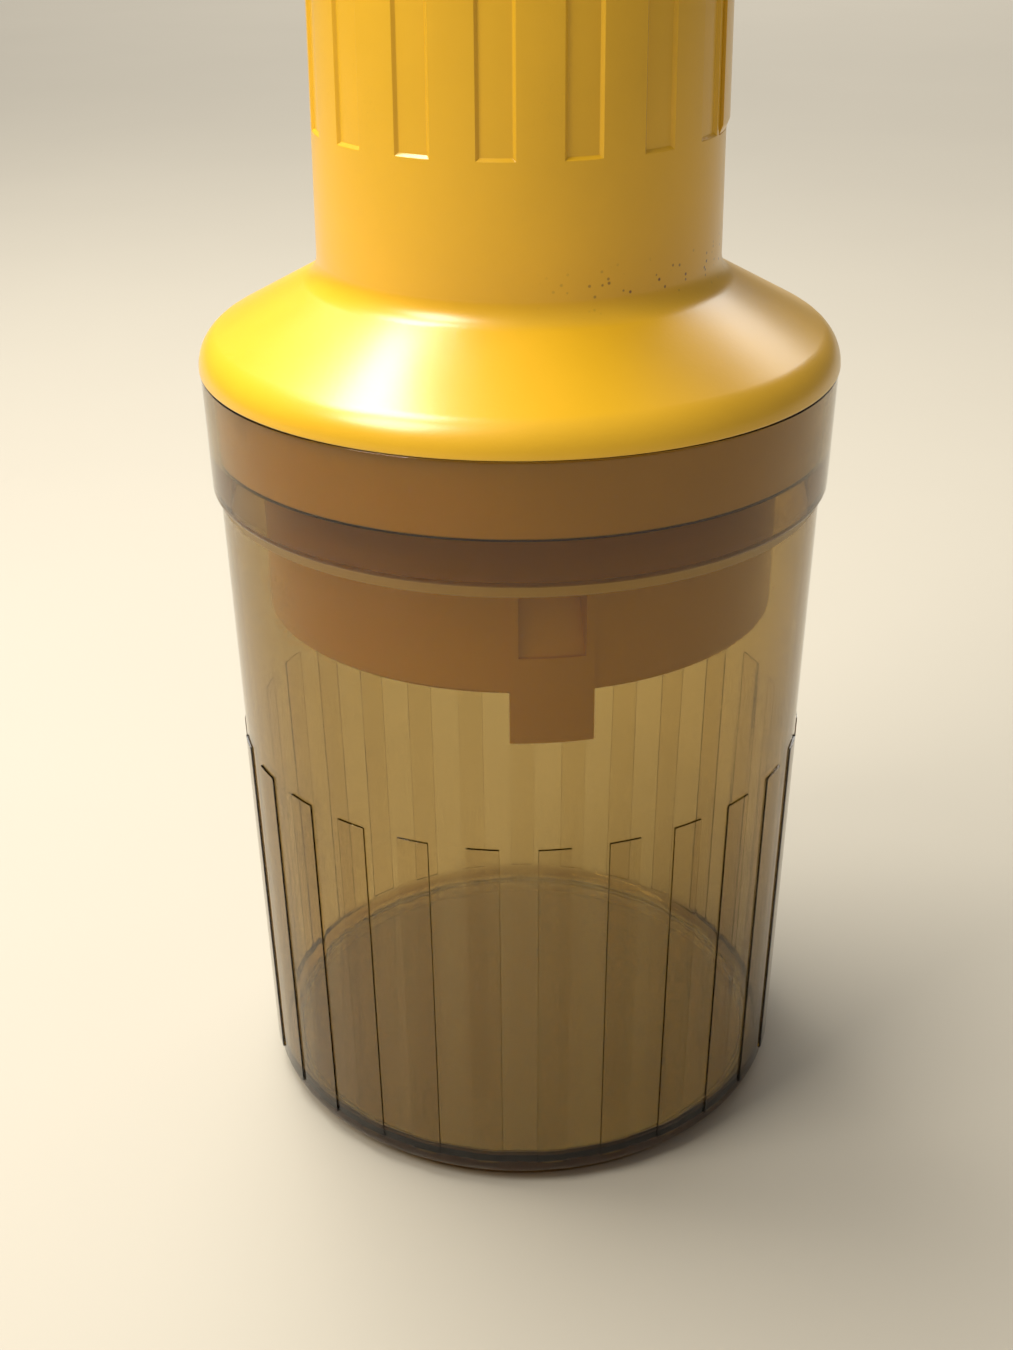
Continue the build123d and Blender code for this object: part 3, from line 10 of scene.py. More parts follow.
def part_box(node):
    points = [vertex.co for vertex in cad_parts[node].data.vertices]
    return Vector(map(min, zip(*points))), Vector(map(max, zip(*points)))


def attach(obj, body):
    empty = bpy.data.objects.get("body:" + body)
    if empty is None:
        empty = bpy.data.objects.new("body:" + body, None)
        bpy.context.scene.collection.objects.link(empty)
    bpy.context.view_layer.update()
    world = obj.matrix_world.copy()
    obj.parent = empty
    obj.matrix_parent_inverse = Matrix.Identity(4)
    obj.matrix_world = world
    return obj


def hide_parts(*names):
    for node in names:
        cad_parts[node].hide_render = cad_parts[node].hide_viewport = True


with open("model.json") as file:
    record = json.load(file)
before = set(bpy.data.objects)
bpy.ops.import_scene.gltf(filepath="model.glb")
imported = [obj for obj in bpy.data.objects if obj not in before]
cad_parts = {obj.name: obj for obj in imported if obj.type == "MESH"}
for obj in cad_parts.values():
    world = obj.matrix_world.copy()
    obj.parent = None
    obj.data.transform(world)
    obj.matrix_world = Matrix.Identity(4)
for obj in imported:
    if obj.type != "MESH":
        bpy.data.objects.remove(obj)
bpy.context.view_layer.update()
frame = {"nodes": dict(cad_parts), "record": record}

bl_info = {
    "name": "Electric grain mill",
    "version": (1, 0, 0),
    "blender": (4, 5, 0),
    "location": "View3D > Sidebar > Grain mill",
    "description": "Dresses the packed grain mill: its pieces, finishes, lamps and camera",
    "category": "Object",
}


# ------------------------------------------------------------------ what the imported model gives
def low(node):
    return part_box(node)[0]


def high(node):
    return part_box(node)[1]


def length(label, description, metres):
    return FloatProperty(name=label, description=description, default=metres,
                         unit="LENGTH", subtype="DISTANCE", precision=5)


def angle(label, description, turn):
    return FloatProperty(name=label, description=description, default=radians(turn),
                         unit="ROTATION", subtype="ANGLE")


def share(label, description, value):
    return FloatProperty(name=label, description=description, default=value, min=0.0)


def watts(label, description, value):
    return FloatProperty(name=label, description=description, default=value, min=0.0, unit="POWER")


def count(label, description, number, least):
    return IntProperty(name=label, description=description, default=number, min=least)


def colour(label, description, rgb):
    return FloatVectorProperty(name=label, description=description, default=rgb, size=3,
                               min=0.0, max=1.0, subtype="COLOR")


# ------------------------------------------------------------------ sizes, finishes and stage settings
class ContainerSizes(PropertyGroup):
    base_radius: length("Base radius", "Wall's outer radius at the table", 0.0752)
    draft: angle("Draft", "Lean of the wall", 1.4)
    wall: length("Wall", "Wall thickness", 0.0024)
    floor_top: length("Floor", "Level of the floor inside", 0.008)
    floor_thickness: length("Floor thickness", "Thickness of the floor", 0.0034)
    base_round: length("Base round", "Round between floor and wall", 0.0042)
    inside_round: length("Inside round", "Round between floor and wall inside", 0.0035)
    foot_radius: length("Foot radius", "Outer radius of the foot ring", 0.0711)
    foot_width: length("Foot width", "Width of the foot ring", 0.0032)
    foot_height: length("Foot height", "Gap between wall and table", 0.0026)
    collar_level: length("Collar level", "Lower edge of the collar's slope", 0.1803)
    collar_slope: length("Collar slope", "Height of the slope under the collar", 0.0035)
    collar_step: length("Collar step", "How far the collar stands out", 0.00175)
    collar_wall: length("Collar wall", "Wall thickness of the collar", 0.0022)
    lip_round: length("Lip round", "Round of the collar's lower edge", 0.0011)
    rib_low: length("Ribs' lower end", "Level where the ribs start", 0.0081)
    rib_high: length("Ribs' upper end", "Level where the ribs end", 0.1109)
    rib_height: length("Rib height", "How far a rib stands out", 0.0005)
    rib_lean: length("Rib lean", "Lean of a rib's sides", 0.00004)
    edge_width: length("Edge width", "Small round of the ribs' edges", 0.00009)
    seat_gap: length("Seat gap", "Room between skirt and ledge", 0.0002)
    rib_count: count("Ribs", "Ribs round the container", 27, 3)
    rib_turn: angle("Rib turn", "Turn of the middle rib from the front", -1.4)


class HousingSizes(PropertyGroup):
    rim_height: length("Rim height", "Upright edge of the rim, with its round", 0.0061)
    rim_round: length("Rim round", "Round between rim and shoulder", 0.0094)
    edge_round: length("Edge round", "Small round of plain edges", 0.00045)
    shoulder_slope: angle("Shoulder slope", "Slope of the shoulder", 28.3)
    neck_radius: length("Neck radius", "Cylinder's radius where the shoulder starts", 0.0512)
    neck_round: length("Neck round", "Hollow round between shoulder and cylinder", 0.007)
    draft: angle("Draft", "Lean of the cylinder", 0.62)
    wall: length("Wall", "Wall thickness", 0.0026)
    length: length("Length", "Cylinder's length above the neck", 0.098)
    roof: length("Roof", "Thickness of the roof", 0.003)
    skirt_wall: length("Skirt wall", "Wall of the skirt inside the collar", 0.0022)
    slip: length("Slip", "Room between skirt and collar", 0.0004)
    ledge_width: length("Ledge width", "Width of the ledge that the motor plate hangs from", 0.0104)
    flute_depth: length("Flute depth", "How deep the flutes are", 0.0008)
    flute_low: length("Flute start", "Flutes' lower end above the neck", 0.0352)
    flute_length: length("Flute length", "Length of the flutes", 0.058)
    flute_count: count("Flutes", "Places round the cylinder", 16, 3)
    panel_depth: length("Panel recess", "Depth of the switch panel's seat", 0.0016)
    panel_low: length("Panel start", "Panel's lower end above the neck", 0.035)
    panel_length: length("Panel length", "Length of the switch panel's seat", 0.059)
    vent_width: length("Vent width", "Width of a vent slot", 0.004)
    vent_length: length("Vent length", "Length of a vent slot", 0.014)
    vent_drop: length("Vent drop", "Vent's end below the flute's end", 0.003)
    hole_room: length("Hole room", "Room round the switch and the duct", 0.0004)
    switch_half_width: length("Switch width", "Half of the switch hole's width", 0.0065)
    switch_half_height: length("Switch height", "Half of the switch hole's height", 0.0098)
    mark_size: length("Mark size", "Height of the rocker's on and off marks", 0.0032)
    mark_proud: length("Mark relief", "How far the marks stand out", 0.00008)
    mark_spread: length("Mark spread", "Marks above and below the rocker's middle", 0.0048)


class HopperSizes(PropertyGroup):
    neck_radius: length("Neck radius", "Radius of the shell's neck", 0.052)
    neck_height: length("Neck height", "Height of the shell's neck", 0.0057)
    rim_height: length("Rim height", "Height of the shell's upright rim", 0.008)
    flare: angle("Flare", "Slope of the shell", 45.0)
    shell_round: length("Shell round", "Rounds of the shell", 0.006)
    shell_wall: length("Shell wall", "Wall of the shell", 0.0026)
    shell_floor: length("Shell floor", "Thickness of the shell's floor", 0.003)
    shell_bore: length("Shell bore", "Opening in the shell's floor", 0.038)
    spigot_radius: length("Spigot radius", "Radius of the spigot inside the ring", 0.0492)
    spigot_wall: length("Spigot wall", "Wall of the spigot", 0.0026)
    bar_thickness: length("Crossbar", "Thickness of the crossbar", 0.004)
    bar_width: length("Crossbar slot", "Width of the slot for the crossbar", 0.0126)
    bar_lift: length("Crossbar room", "Room for the crossbar's travel", 0.0021)
    hopper_wall: length("Hopper wall", "Wall of the smoked hopper", 0.0022)
    hopper_slip: length("Hopper slip", "Room between hopper and shell", 0.0004)
    bead_height: length("Bead height", "Height of the bead on the shell's rim", 0.0024)
    skirt_depth: length("Skirt depth", "Hopper's skirt below the shell's rim", 0.005)
    funnel_rise: length("Funnel mouth", "Funnel's mouth above the shell's rim", 0.026)
    funnel_lift: length("Funnel floor", "Thickness of the funnel, upright", 0.0012)
    duct_half_width: length("Duct width", "Half of the duct's width", 0.012)
    duct_half_depth: length("Duct depth", "Half of the duct's depth", 0.00725)
    duct_wall: length("Duct wall", "Wall of the duct", 0.0016)
    duct_centre: length("Duct place", "Duct's middle behind the shaft", 0.03675)
    outlet_height: length("Outlet", "Height of the hopper's outlet", 0.003)
    lid_thickness: length("Lid", "Thickness of the lid", 0.0024)
    lid_rise: length("Lid rise", "How far the lid's middle stands up", 0.005)
    lid_skirt: length("Lid skirt", "Depth of the lid's skirt", 0.007)
    lid_skirt_wall: length("Lid skirt wall", "Wall of the lid's skirt", 0.0018)
    knob_radius: length("Knob radius", "Radius of the lid's knob", 0.015)
    knob_neck: length("Knob neck", "Radius of the knob's neck", 0.009)
    knob_round: length("Knob round", "Round of the knob", 0.0025)


class RingSizes(PropertyGroup):
    grip_count: count("Grips", "Grip grooves round the ring", 40, 8)
    grip_depth: length("Grip depth", "Depth of a grip groove", 0.0010)
    grip_height: length("Grip height", "Height of the grip grooves", 0.008)
    inner_radius: length("Inner radius", "Bore of the ring", 0.0495)
    groove_radius: length("Groove radius", "Bottom of the groove for the crossbar", 0.0538)
    groove_low: length("Groove start", "Groove above the ring's lower face", 0.0032)
    groove_high: length("Groove end", "Groove's top above the ring's lower face", 0.0093)
    figure_size: length("Figure size", "Height of the scale's figures", 0.0042)
    figure_proud: length("Figure relief", "How far the figures stand out", 0.00012)
    figure_count: count("Figures", "Figures on the scale", 9, 2)
    scale_turn: angle("Scale", "Turn from the first figure to the last", 270.0)
    pointer_size: length("Pointer size", "Size of the pointer under the ring", 0.0036)
    pointer_proud: length("Pointer relief", "How far the pointer stands out", 0.0004)


class Finishes(PropertyGroup):
    yellow: colour("Yellow plastic", "Housing and hopper shell", (0.80, 0.45, 0.012))
    smoke: colour("Smoked plastic", "Share of light that one wall lets through", (0.66, 0.56, 0.33))
    # painted glow: the lip colour and its share make a pale diffuse layer under the collar that stands in
    # for light the clear wall carries to its edge
    lip: colour("Lip", "Colour of the dull slope under the collar", (0.62, 0.40, 0.12))
    lip_painted_glow: share("Lip share", "How dull the slope under the collar is", 0.35)
    black: colour("Black plastic", "Ring, knob, switch and gland", (0.018, 0.017, 0.016))
    pale: colour("Pale plastic", "Grinding chamber and duct", (0.56, 0.50, 0.38))
    metal: colour("Cast metal", "Carrier, plates and crossbar", (0.52, 0.52, 0.51))
    steel: colour("Steel", "Shaft, bearings and screws", (0.48, 0.48, 0.49))
    copper: colour("Copper", "Windings and commutator", (0.62, 0.24, 0.09))
    stone: colour("Stone", "Grinding stones", (0.40, 0.36, 0.30))
    rubber: colour("Rubber", "Seal and mounts", (0.022, 0.021, 0.020))
    floor: colour("Floor", "Floor of the stage", (0.42, 0.39, 0.33))


class StageSettings(PropertyGroup):
    lens: FloatProperty(name="Lens", description="Focal length on a 36 mm sensor", default=47.57)
    distance: length("Distance", "Camera to the mill's axis, level", 0.4522)
    height: length("Height", "Camera above the table", 0.3494)
    turn: angle("Turn", "Camera's turn round the mill", 5.7)
    pitch: angle("Pitch", "How far the camera looks down", 26.89)
    yaw: angle("Yaw", "How far the camera looks aside", 0.504)
    roll: angle("Roll", "How far the camera leans", -0.453)
    floor_size: length("Floor size", "Side of the floor", 9.0)
    daylight: share("Daylight", "Strength of the even light", 0.33)
    mirrored: share("Mirrored", "Strength of the even light in reflections", 0.10)
    backdrop: share("Backdrop", "Strength of the backdrop as camera and clear plastic meet it", 0.80)
    key_power: watts("Key lamp", "Lamp at the front left", 15.0)
    top_power: watts("Top lamp", "Lamp above, whose gleam lies on the shoulder", 34.0)
    rear_power: watts("Rear lamp", "Lamp on the floor behind the mill", 90.0)


SETTINGS = {
    "mill_container": ContainerSizes,
    "mill_housing": HousingSizes,
    "mill_hopper": HopperSizes,
    "mill_ring": RingSizes,
    "mill_finishes": Finishes,
    "mill_stage": StageSettings,
}


# ------------------------------------------------------------------ modelling steps
SEAM = 0.00001        # doubles nearer than this are one point
FINE_EDGE = 0.00016   # round on small moulded edges
PLAIN_EDGE = 0.0006   # round on plain moulded edges
RIM_EDGE = 0.0005     # round on the edges of thin rims
HAIR_GAP = 0.0002     # room between pieces that rest on each other
ROUND_SIDES = 176     # sides of a large round piece
ARC_STEP = 9          # degrees of an outline's round from point to point
SMOOTH_ANGLE = 30.0   # edges flatter than this are shaded smooth, in degrees
FLAT_ANGLE = 0.4      # faces that turn less than this are one face, in degrees
CAPITAL = 0.7         # height of a figure as a share of the text size


def start_alone():
    """Goes back to object mode with nothing selected."""
    if bpy.context.object and bpy.context.object.mode != "OBJECT":
        bpy.ops.object.mode_set(mode="OBJECT")
    bpy.ops.object.select_all(action="DESELECT")


def take(piece):
    """Leaves one piece selected and active."""
    start_alone()
    piece.select_set(True)
    bpy.context.view_layer.objects.active = piece


def rounded(corners):
    """An outline of (radius, level) points from corners, where a third number rounds a corner."""
    points = []
    for index, corner in enumerate(corners):
        here = Vector(corner[:2])
        if len(corner) < 3:
            points.append(tuple(here))
            continue
        before = (Vector(corners[index - 1][:2]) - here).normalized()
        after = (Vector(corners[(index + 1) % len(corners)][:2]) - here).normalized()
        half = before.angle(after) / 2
        centre = here + (before + after).normalized() * corner[2] / sin(half)
        start = here + before * corner[2] / tan(half) - centre
        sweep = start.angle_signed(here + after * corner[2] / tan(half) - centre)
        steps = max(3, ceil(abs(degrees(sweep)) / ARC_STEP))
        for step in range(steps + 1):
            points.append(tuple(centre + Matrix.Rotation(-sweep * step / steps, 2) @ start))
    return points


def turned(name, outline, sides, start=0.0, capped=False):
    """A piece turned about the upright axis: a circle extruded and resized along an outline."""
    start_alone()
    radius, level = outline[0]
    bpy.ops.mesh.primitive_circle_add(vertices=sides, radius=radius, location=(0, 0, level),
                                      rotation=(0, 0, start - pi / 2),
                                      fill_type="NGON" if capped else "NOTHING")
    piece = bpy.context.object
    piece.name = name
    bpy.ops.object.mode_set(mode="EDIT")
    bpy.ops.mesh.select_all(action="SELECT")
    for next_radius, next_level in outline[1:] + ([] if capped else outline[:1]):
        step = {"value": (0, 0, next_level - level)}
        bpy.ops.mesh.extrude_region_move(TRANSFORM_OT_translate=step)
        grow = next_radius / radius
        bpy.ops.transform.resize(value=(grow, grow, 1), center_override=(0, 0, next_level))
        radius, level = next_radius, next_level
    bpy.ops.mesh.select_all(action="SELECT")
    bpy.ops.mesh.remove_doubles(threshold=SEAM)
    if capped:
        bpy.ops.mesh.select_all(action="DESELECT")
        bpy.ops.mesh.select_non_manifold()
        bpy.ops.mesh.edge_face_add()
    bpy.ops.mesh.select_all(action="SELECT")
    bpy.ops.mesh.normals_make_consistent(inside=False)
    bpy.ops.object.mode_set(mode="OBJECT")
    bpy.ops.object.transform_apply(location=True, rotation=True, scale=True)
    return piece


def select_faces(piece, chosen):
    """Enters edit mode with just the faces selected whose middle passes the test."""
    take(piece)
    bpy.context.tool_settings.mesh_select_mode = (False, False, True)
    for group in (piece.data.vertices, piece.data.edges, piece.data.polygons):
        group.foreach_set("select", [False] * len(group))
    for face in piece.data.polygons:
        face.select = chosen(face.center)
    bpy.ops.object.mode_set(mode="EDIT")


def push_faces(piece, chosen, depth, lean):
    """Sinks (depth below zero) or raises regions of faces, with a wall that leans by lean."""
    select_faces(piece, chosen)
    bpy.ops.mesh.inset(thickness=lean, depth=depth, use_even_offset=True)
    bpy.ops.object.mode_set(mode="OBJECT")


def soften_edges(piece, width, sharpness=26.0):
    """Rounds every sharp edge of a piece by a small bevel."""
    select_faces(piece, lambda middle: False)
    bpy.ops.mesh.select_mode(type="EDGE")
    bpy.ops.mesh.edges_select_sharp(sharpness=radians(sharpness))
    bpy.ops.mesh.bevel(offset=width, segments=2, affect="EDGES", clamp_overlap=True)
    bpy.ops.object.mode_set(mode="OBJECT")


def cut(piece, cutter):
    """Takes a cutter out of a piece and deletes the cutter."""
    take(piece)
    opening = piece.modifiers.new("opening", "BOOLEAN")
    opening.operation = "DIFFERENCE"
    opening.solver = "EXACT"
    opening.object = cutter
    bpy.ops.object.modifier_apply(modifier=opening.name)
    bpy.data.objects.remove(cutter)


def joined(pieces):
    """Joins pieces into the first one."""
    start_alone()
    for piece in pieces:
        piece.select_set(True)
    bpy.context.view_layer.objects.active = pieces[0]
    bpy.ops.object.join()
    return pieces[0]


def block(name, centre, size, turn=0.0, round_width=0.0):
    """A box of a size at a place, turned about the upright axis, with its upright edges rounded."""
    start_alone()
    bpy.ops.mesh.primitive_cube_add(size=1.0, location=centre, rotation=(0, 0, turn), scale=size)
    piece = bpy.context.object
    piece.name = name
    bpy.ops.object.transform_apply(location=True, rotation=True, scale=True)
    if round_width:
        soften_edges(piece, round_width)
    return piece


def copied(node, name):
    """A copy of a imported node's mesh with its triangles merged, for a softened piece."""
    start_alone()
    source = frame["nodes"][node]
    piece = bpy.data.objects.new(name, source.data.copy())
    bpy.context.scene.collection.objects.link(piece)
    piece.data.materials.clear()
    select_faces(piece, lambda middle: True)
    bpy.ops.mesh.remove_doubles(threshold=SEAM)
    bpy.ops.mesh.dissolve_limited(angle_limit=radians(FLAT_ANGLE))
    bpy.ops.object.mode_set(mode="OBJECT")
    return piece


def finish(context, piece, body, slot, *nodes):
    """Gives a piece its body, slot, material and smooth shading, and hides the nodes it stands for."""
    take(piece)
    bpy.ops.object.shade_smooth_by_angle(angle=radians(SMOOTH_ANGLE))
    even = piece.modifiers.new("even_normals", "WEIGHTED_NORMAL")
    even.keep_sharp = True
    bpy.ops.object.modifier_apply(modifier=even.name)
    piece.data.name = piece.name
    piece.data.materials.clear()
    piece.data.materials.append(material_for(context, slot))
    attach(piece, body)
    if nodes:
        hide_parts(*nodes)


def soft_copy(context, node, name, body, slot, edge):
    """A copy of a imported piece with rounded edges, which takes that piece's place."""
    piece = copied(node, name)
    soften_edges(piece, edge)
    finish(context, piece, body, slot, node)
    return piece


def figure(name, text, size, proud):
    """A figure as a flat raised mesh that faces -Y, with its middle at the origin."""
    start_alone()
    bpy.ops.object.text_add(rotation=(pi / 2, 0, 0))
    piece = bpy.context.object
    piece.name = name
    piece.data.body = text
    piece.data.size = size / CAPITAL
    piece.data.extrude = proud
    piece.data.align_x = "CENTER"
    piece.data.align_y = "CENTER"
    bpy.ops.object.convert(target="MESH")
    bpy.ops.object.transform_apply(location=False, rotation=True, scale=True)
    bpy.ops.object.mode_set(mode="EDIT")
    bpy.ops.mesh.select_all(action="SELECT")
    bpy.ops.mesh.remove_doubles(threshold=SEAM / 4)
    bpy.ops.mesh.normals_make_consistent(inside=False)
    bpy.ops.object.mode_set(mode="OBJECT")
    return piece


def set_down(piece, place, outward):
    """Moves a figure to a place and turns its face outward, then applies both."""
    take(piece)
    aim = outward.to_track_quat("-Y", "Z")
    piece.matrix_world = Matrix.Translation(place) @ aim.to_matrix().to_4x4()
    bpy.ops.object.transform_apply(location=True, rotation=True, scale=True)


def azimuth(point):
    """Turn of a point about the upright axis, in degrees, with zero on the side of the switch."""
    return degrees(atan2(point.y, point.x))


def off_centre(turn, spacing):
    """How far an angle is from the nearest multiple of a spacing, in degrees."""
    return abs((turn + spacing / 2) % spacing - spacing / 2)


# ------------------------------------------------------------------ shader groups and materials
DIRT = (0.11, 0.030, 0.012)               # specks above the neck's round
FLOUR = (0.66, 0.60, 0.48)                # flour in the stones
FLOUR_DUST = (0.60, 0.54, 0.42)           # flour on the plain plastics
SMOKED_SHADE = (0.55, 0.56, 0.48, 1.0)    # light that a face of the smoked plastic passes into its shade
SPECK_RISE = 0.001                        # specks above the motor plate's lower face


class NodeBench:
    """Places and links the nodes of one node tree, from left to right."""

    def __init__(self, tree):
        self.tree = tree
        self.column = 0

    def add(self, kind, **settings):
        node = self.tree.nodes.new(kind)
        node.location = (self.column, 0)
        self.column += 200
        for key, value in settings.items():
            setattr(node, key, value)
        return node

    def link(self, output, target):
        self.tree.links.new(output, target)

    def feed(self, socket, value):
        """Links an output to a socket, or sets the socket to a value."""
        if isinstance(value, bpy.types.NodeSocket):
            self.link(value, socket)
        else:
            socket.default_value = value

    def feed_all(self, node, *values, **named):
        """Feeds a node's first inputs in order, and others by name, with _ for a space."""
        for socket, value in zip(node.inputs, values):
            self.feed(socket, value)
        for name, value in named.items():
            self.feed(node.inputs[name.replace("_", " ")], value)
        return node

    def maths(self, operation, first, second):
        return self.feed_all(self.add("ShaderNodeMath", operation=operation), first, second).outputs[0]

    def distance(self, value, level):
        return self.maths("ABSOLUTE", self.maths("SUBTRACT", value, level), 0.0)

    def noise(self, place, scale, detail=3.0, roughness=0.55):
        node = self.add("ShaderNodeTexNoise")
        self.feed_all(node, Vector=place, Scale=scale, Detail=detail, Roughness=roughness)
        return node.outputs["Fac"]

    def between(self, value, start, end, first=0.0, last=1.0):
        """Turns start to end into first to last, and holds what lies past them."""
        node = self.feed_all(self.add("ShaderNodeMapRange"), value, start, end, first, last)
        return node.outputs["Result"]

    def split(self, kind, value):
        return self.feed_all(self.add(kind), value).outputs

    def blend(self, amount, first, second):
        """A mix of two colours."""
        node = self.add("ShaderNodeMix", data_type="RGBA", blend_type="MIX")
        self.feed(node.inputs["Factor"], amount)
        for name, value in (("A", first), ("B", second)):
            socket = [s for s in node.inputs if s.name == name and s.type == "RGBA"][0]
            self.feed(socket, value if isinstance(value, bpy.types.NodeSocket) else (*value, 1.0))
        return [s for s in node.outputs if s.type == "RGBA"][0]

    def blend_shaders(self, amount, first, second):
        return self.feed_all(self.add("ShaderNodeMixShader"), amount, first, second).outputs[0]


class MaterialBench(NodeBench):
    """The nodes of one material, with its Principled shader on the output."""

    def __init__(self, name):
        self.material = bpy.data.materials.new(name)
        self.material.use_nodes = True
        self.material.node_tree.nodes.clear()
        super().__init__(self.material.node_tree)
        self.place = self.add("ShaderNodeTexCoord").outputs["Object"]
        self.shader = self.tree.nodes.new("ShaderNodeBsdfPrincipled")
        self.shader.location = (3200, 0)
        self.output = self.tree.nodes.new("ShaderNodeOutputMaterial")
        self.output.location = (3600, 0)
        self.link(self.shader.outputs[0], self.output.inputs["Surface"])

    def group(self, tree, **values):
        return self.feed_all(self.add("ShaderNodeGroup", node_tree=tree), Place=self.place, **values).outputs

    def bump(self, height, distance, strength=1.0):
        node = self.feed_all(self.add("ShaderNodeBump"), Height=height, Strength=strength, Distance=distance)
        self.link(node.outputs[0], self.shader.inputs["Normal"])


def group_of(name, values, build):
    """A shader node group with a place, named values and named outputs, built once."""
    if name in bpy.data.node_groups:
        return bpy.data.node_groups[name]
    tree = bpy.data.node_groups.new(name, "ShaderNodeTree")
    tree.interface.new_socket("Place", in_out="INPUT", socket_type="NodeSocketVector")
    for label, value in values.items():
        socket = tree.interface.new_socket(label, in_out="INPUT", socket_type="NodeSocketFloat")
        socket.default_value = value
    bench = NodeBench(tree)
    source = bench.add("NodeGroupInput")
    results = build(bench, source.outputs)
    for label in results:
        tree.interface.new_socket(label, in_out="OUTPUT", socket_type="NodeSocketFloat")
    sink = bench.add("NodeGroupOutput")
    for label, result in results.items():
        bench.link(result, sink.inputs[label])
    return tree


def moulded_skin():
    """Orange peel and faint flow of moulded plastic: a height and a shade."""
    def build(bench, given):
        place = given["Place"]
        peel = bench.noise(place, given["Peel Scale"], 2.0)
        flow = bench.noise(place, 22.0, 4.0)
        height = bench.maths("ADD", bench.maths("MULTIPLY", peel, 0.7), bench.maths("MULTIPLY", flow, 0.3))
        return {"Height": height, "Shade": bench.between(flow, 0.3, 0.7)}
    return group_of("Moulded skin", {"Peel Scale": 900.0}, build)


def fine_scratches():
    """Thin scratches that run every way: a mask."""
    def build(bench, given):
        masks = []
        for turn, stretch in ((0.4, (1.0, 14.0, 5.0)), (-0.9, (16.0, 1.0, 2.5)), (1.7, (5.0, 2.0, 22.0))):
            mapping = bench.feed_all(bench.add("ShaderNodeMapping"), Vector=given["Place"],
                                     Rotation=(turn, turn * 0.6, turn * 1.3), Scale=stretch)
            streak = bench.noise(mapping.outputs["Vector"], given["Scale"], 5.0, 0.7)
            masks.append(bench.between(bench.distance(streak, 0.5), 0.0, given["Width"], 1.0, 0.0))
        patches = bench.between(bench.noise(given["Place"], 34.0, 2.0), 0.50, 0.72)
        all_masks = bench.maths("MAXIMUM", bench.maths("MAXIMUM", masks[0], masks[1]), masks[2])
        return {"Mask": bench.maths("MULTIPLY", all_masks, patches)}
    return group_of("Fine scratches", {"Scale": 18.0, "Width": 0.004}, build)


def settled_dust():
    """Flour dust where a surface faces up and in patches: a mask."""
    def build(bench, given):
        facing = bench.add("ShaderNodeNewGeometry").outputs["Normal"]
        top = bench.between(bench.split("ShaderNodeSeparateXYZ", facing)["Z"], 0.35, 0.95)
        grains = bench.between(bench.noise(given["Place"], 420.0, 4.0, 0.7), 0.45, 0.75)
        patches = bench.between(bench.noise(given["Place"], 26.0, 3.0), 0.35, 0.75)
        mask = bench.maths("MULTIPLY", bench.maths("MULTIPLY", grains, patches), top)
        return {"Mask": bench.maths("MULTIPLY", mask, given["Amount"])}
    return group_of("Settled dust", {"Amount": 0.5}, build)


def dirt_specks():
    """Scattered dark specks, denser in patches: a mask."""
    def build(bench, given):
        cells = bench.feed_all(bench.add("ShaderNodeTexVoronoi"), Vector=given["Place"],
                               Scale=given["Scale"])
        dots = bench.between(cells.outputs["Distance"], bench.maths("MULTIPLY", given["Dot"], 0.5),
                             given["Dot"], 1.0, 0.0)
        chance = bench.split("ShaderNodeSeparateColor", cells.outputs["Color"])[0]
        kept = bench.maths("LESS_THAN", chance, given["Share"])
        return {"Mask": bench.maths("MULTIPLY", dots, kept)}
    return group_of("Dirt specks", {"Scale": 260.0, "Share": 0.03, "Dot": 0.16}, build)


def yellow_plastic(finishes, speck_level):
    """Satin moulded yellow, with dirt specks round one level and faint handling marks."""
    bench = MaterialBench("Yellow moulded plastic")
    skin = bench.group(moulded_skin(), Peel_Scale=1100.0)
    marks = bench.group(fine_scratches(), Scale=11.0, Width=0.0022)
    specks = bench.group(dirt_specks(), Scale=640.0, Share=0.34, Dot=0.30)
    place = bench.split("ShaderNodeSeparateXYZ", bench.place)
    near_neck = bench.between(bench.distance(place["Z"], speck_level), 0.001, 0.006, 1.0, 0.0)
    to_side = bench.between(place["X"], 0.008, 0.030)
    dirt = bench.maths("MULTIPLY", bench.maths("MULTIPLY", specks["Mask"], near_neck), to_side)
    yellow = Vector(finishes.yellow)
    deep = bench.blend(skin["Shade"], yellow * 0.95, yellow * 1.04)
    marked = bench.blend(bench.maths("MULTIPLY", marks["Mask"], 0.16), deep, yellow * 0.55)
    dirty = bench.blend(bench.maths("MULTIPLY", dirt, 0.92), marked, DIRT)
    bench.feed_all(bench.shader, Base_Color=dirty, IOR=1.52, Coat_Weight=0.7, Coat_Roughness=0.26,
                   Roughness=bench.between(skin["Shade"], 0.0, 1.0, 0.30, 0.38))
    bench.bump(skin["Height"], distance=0.00006, strength=0.5)
    return bench.material


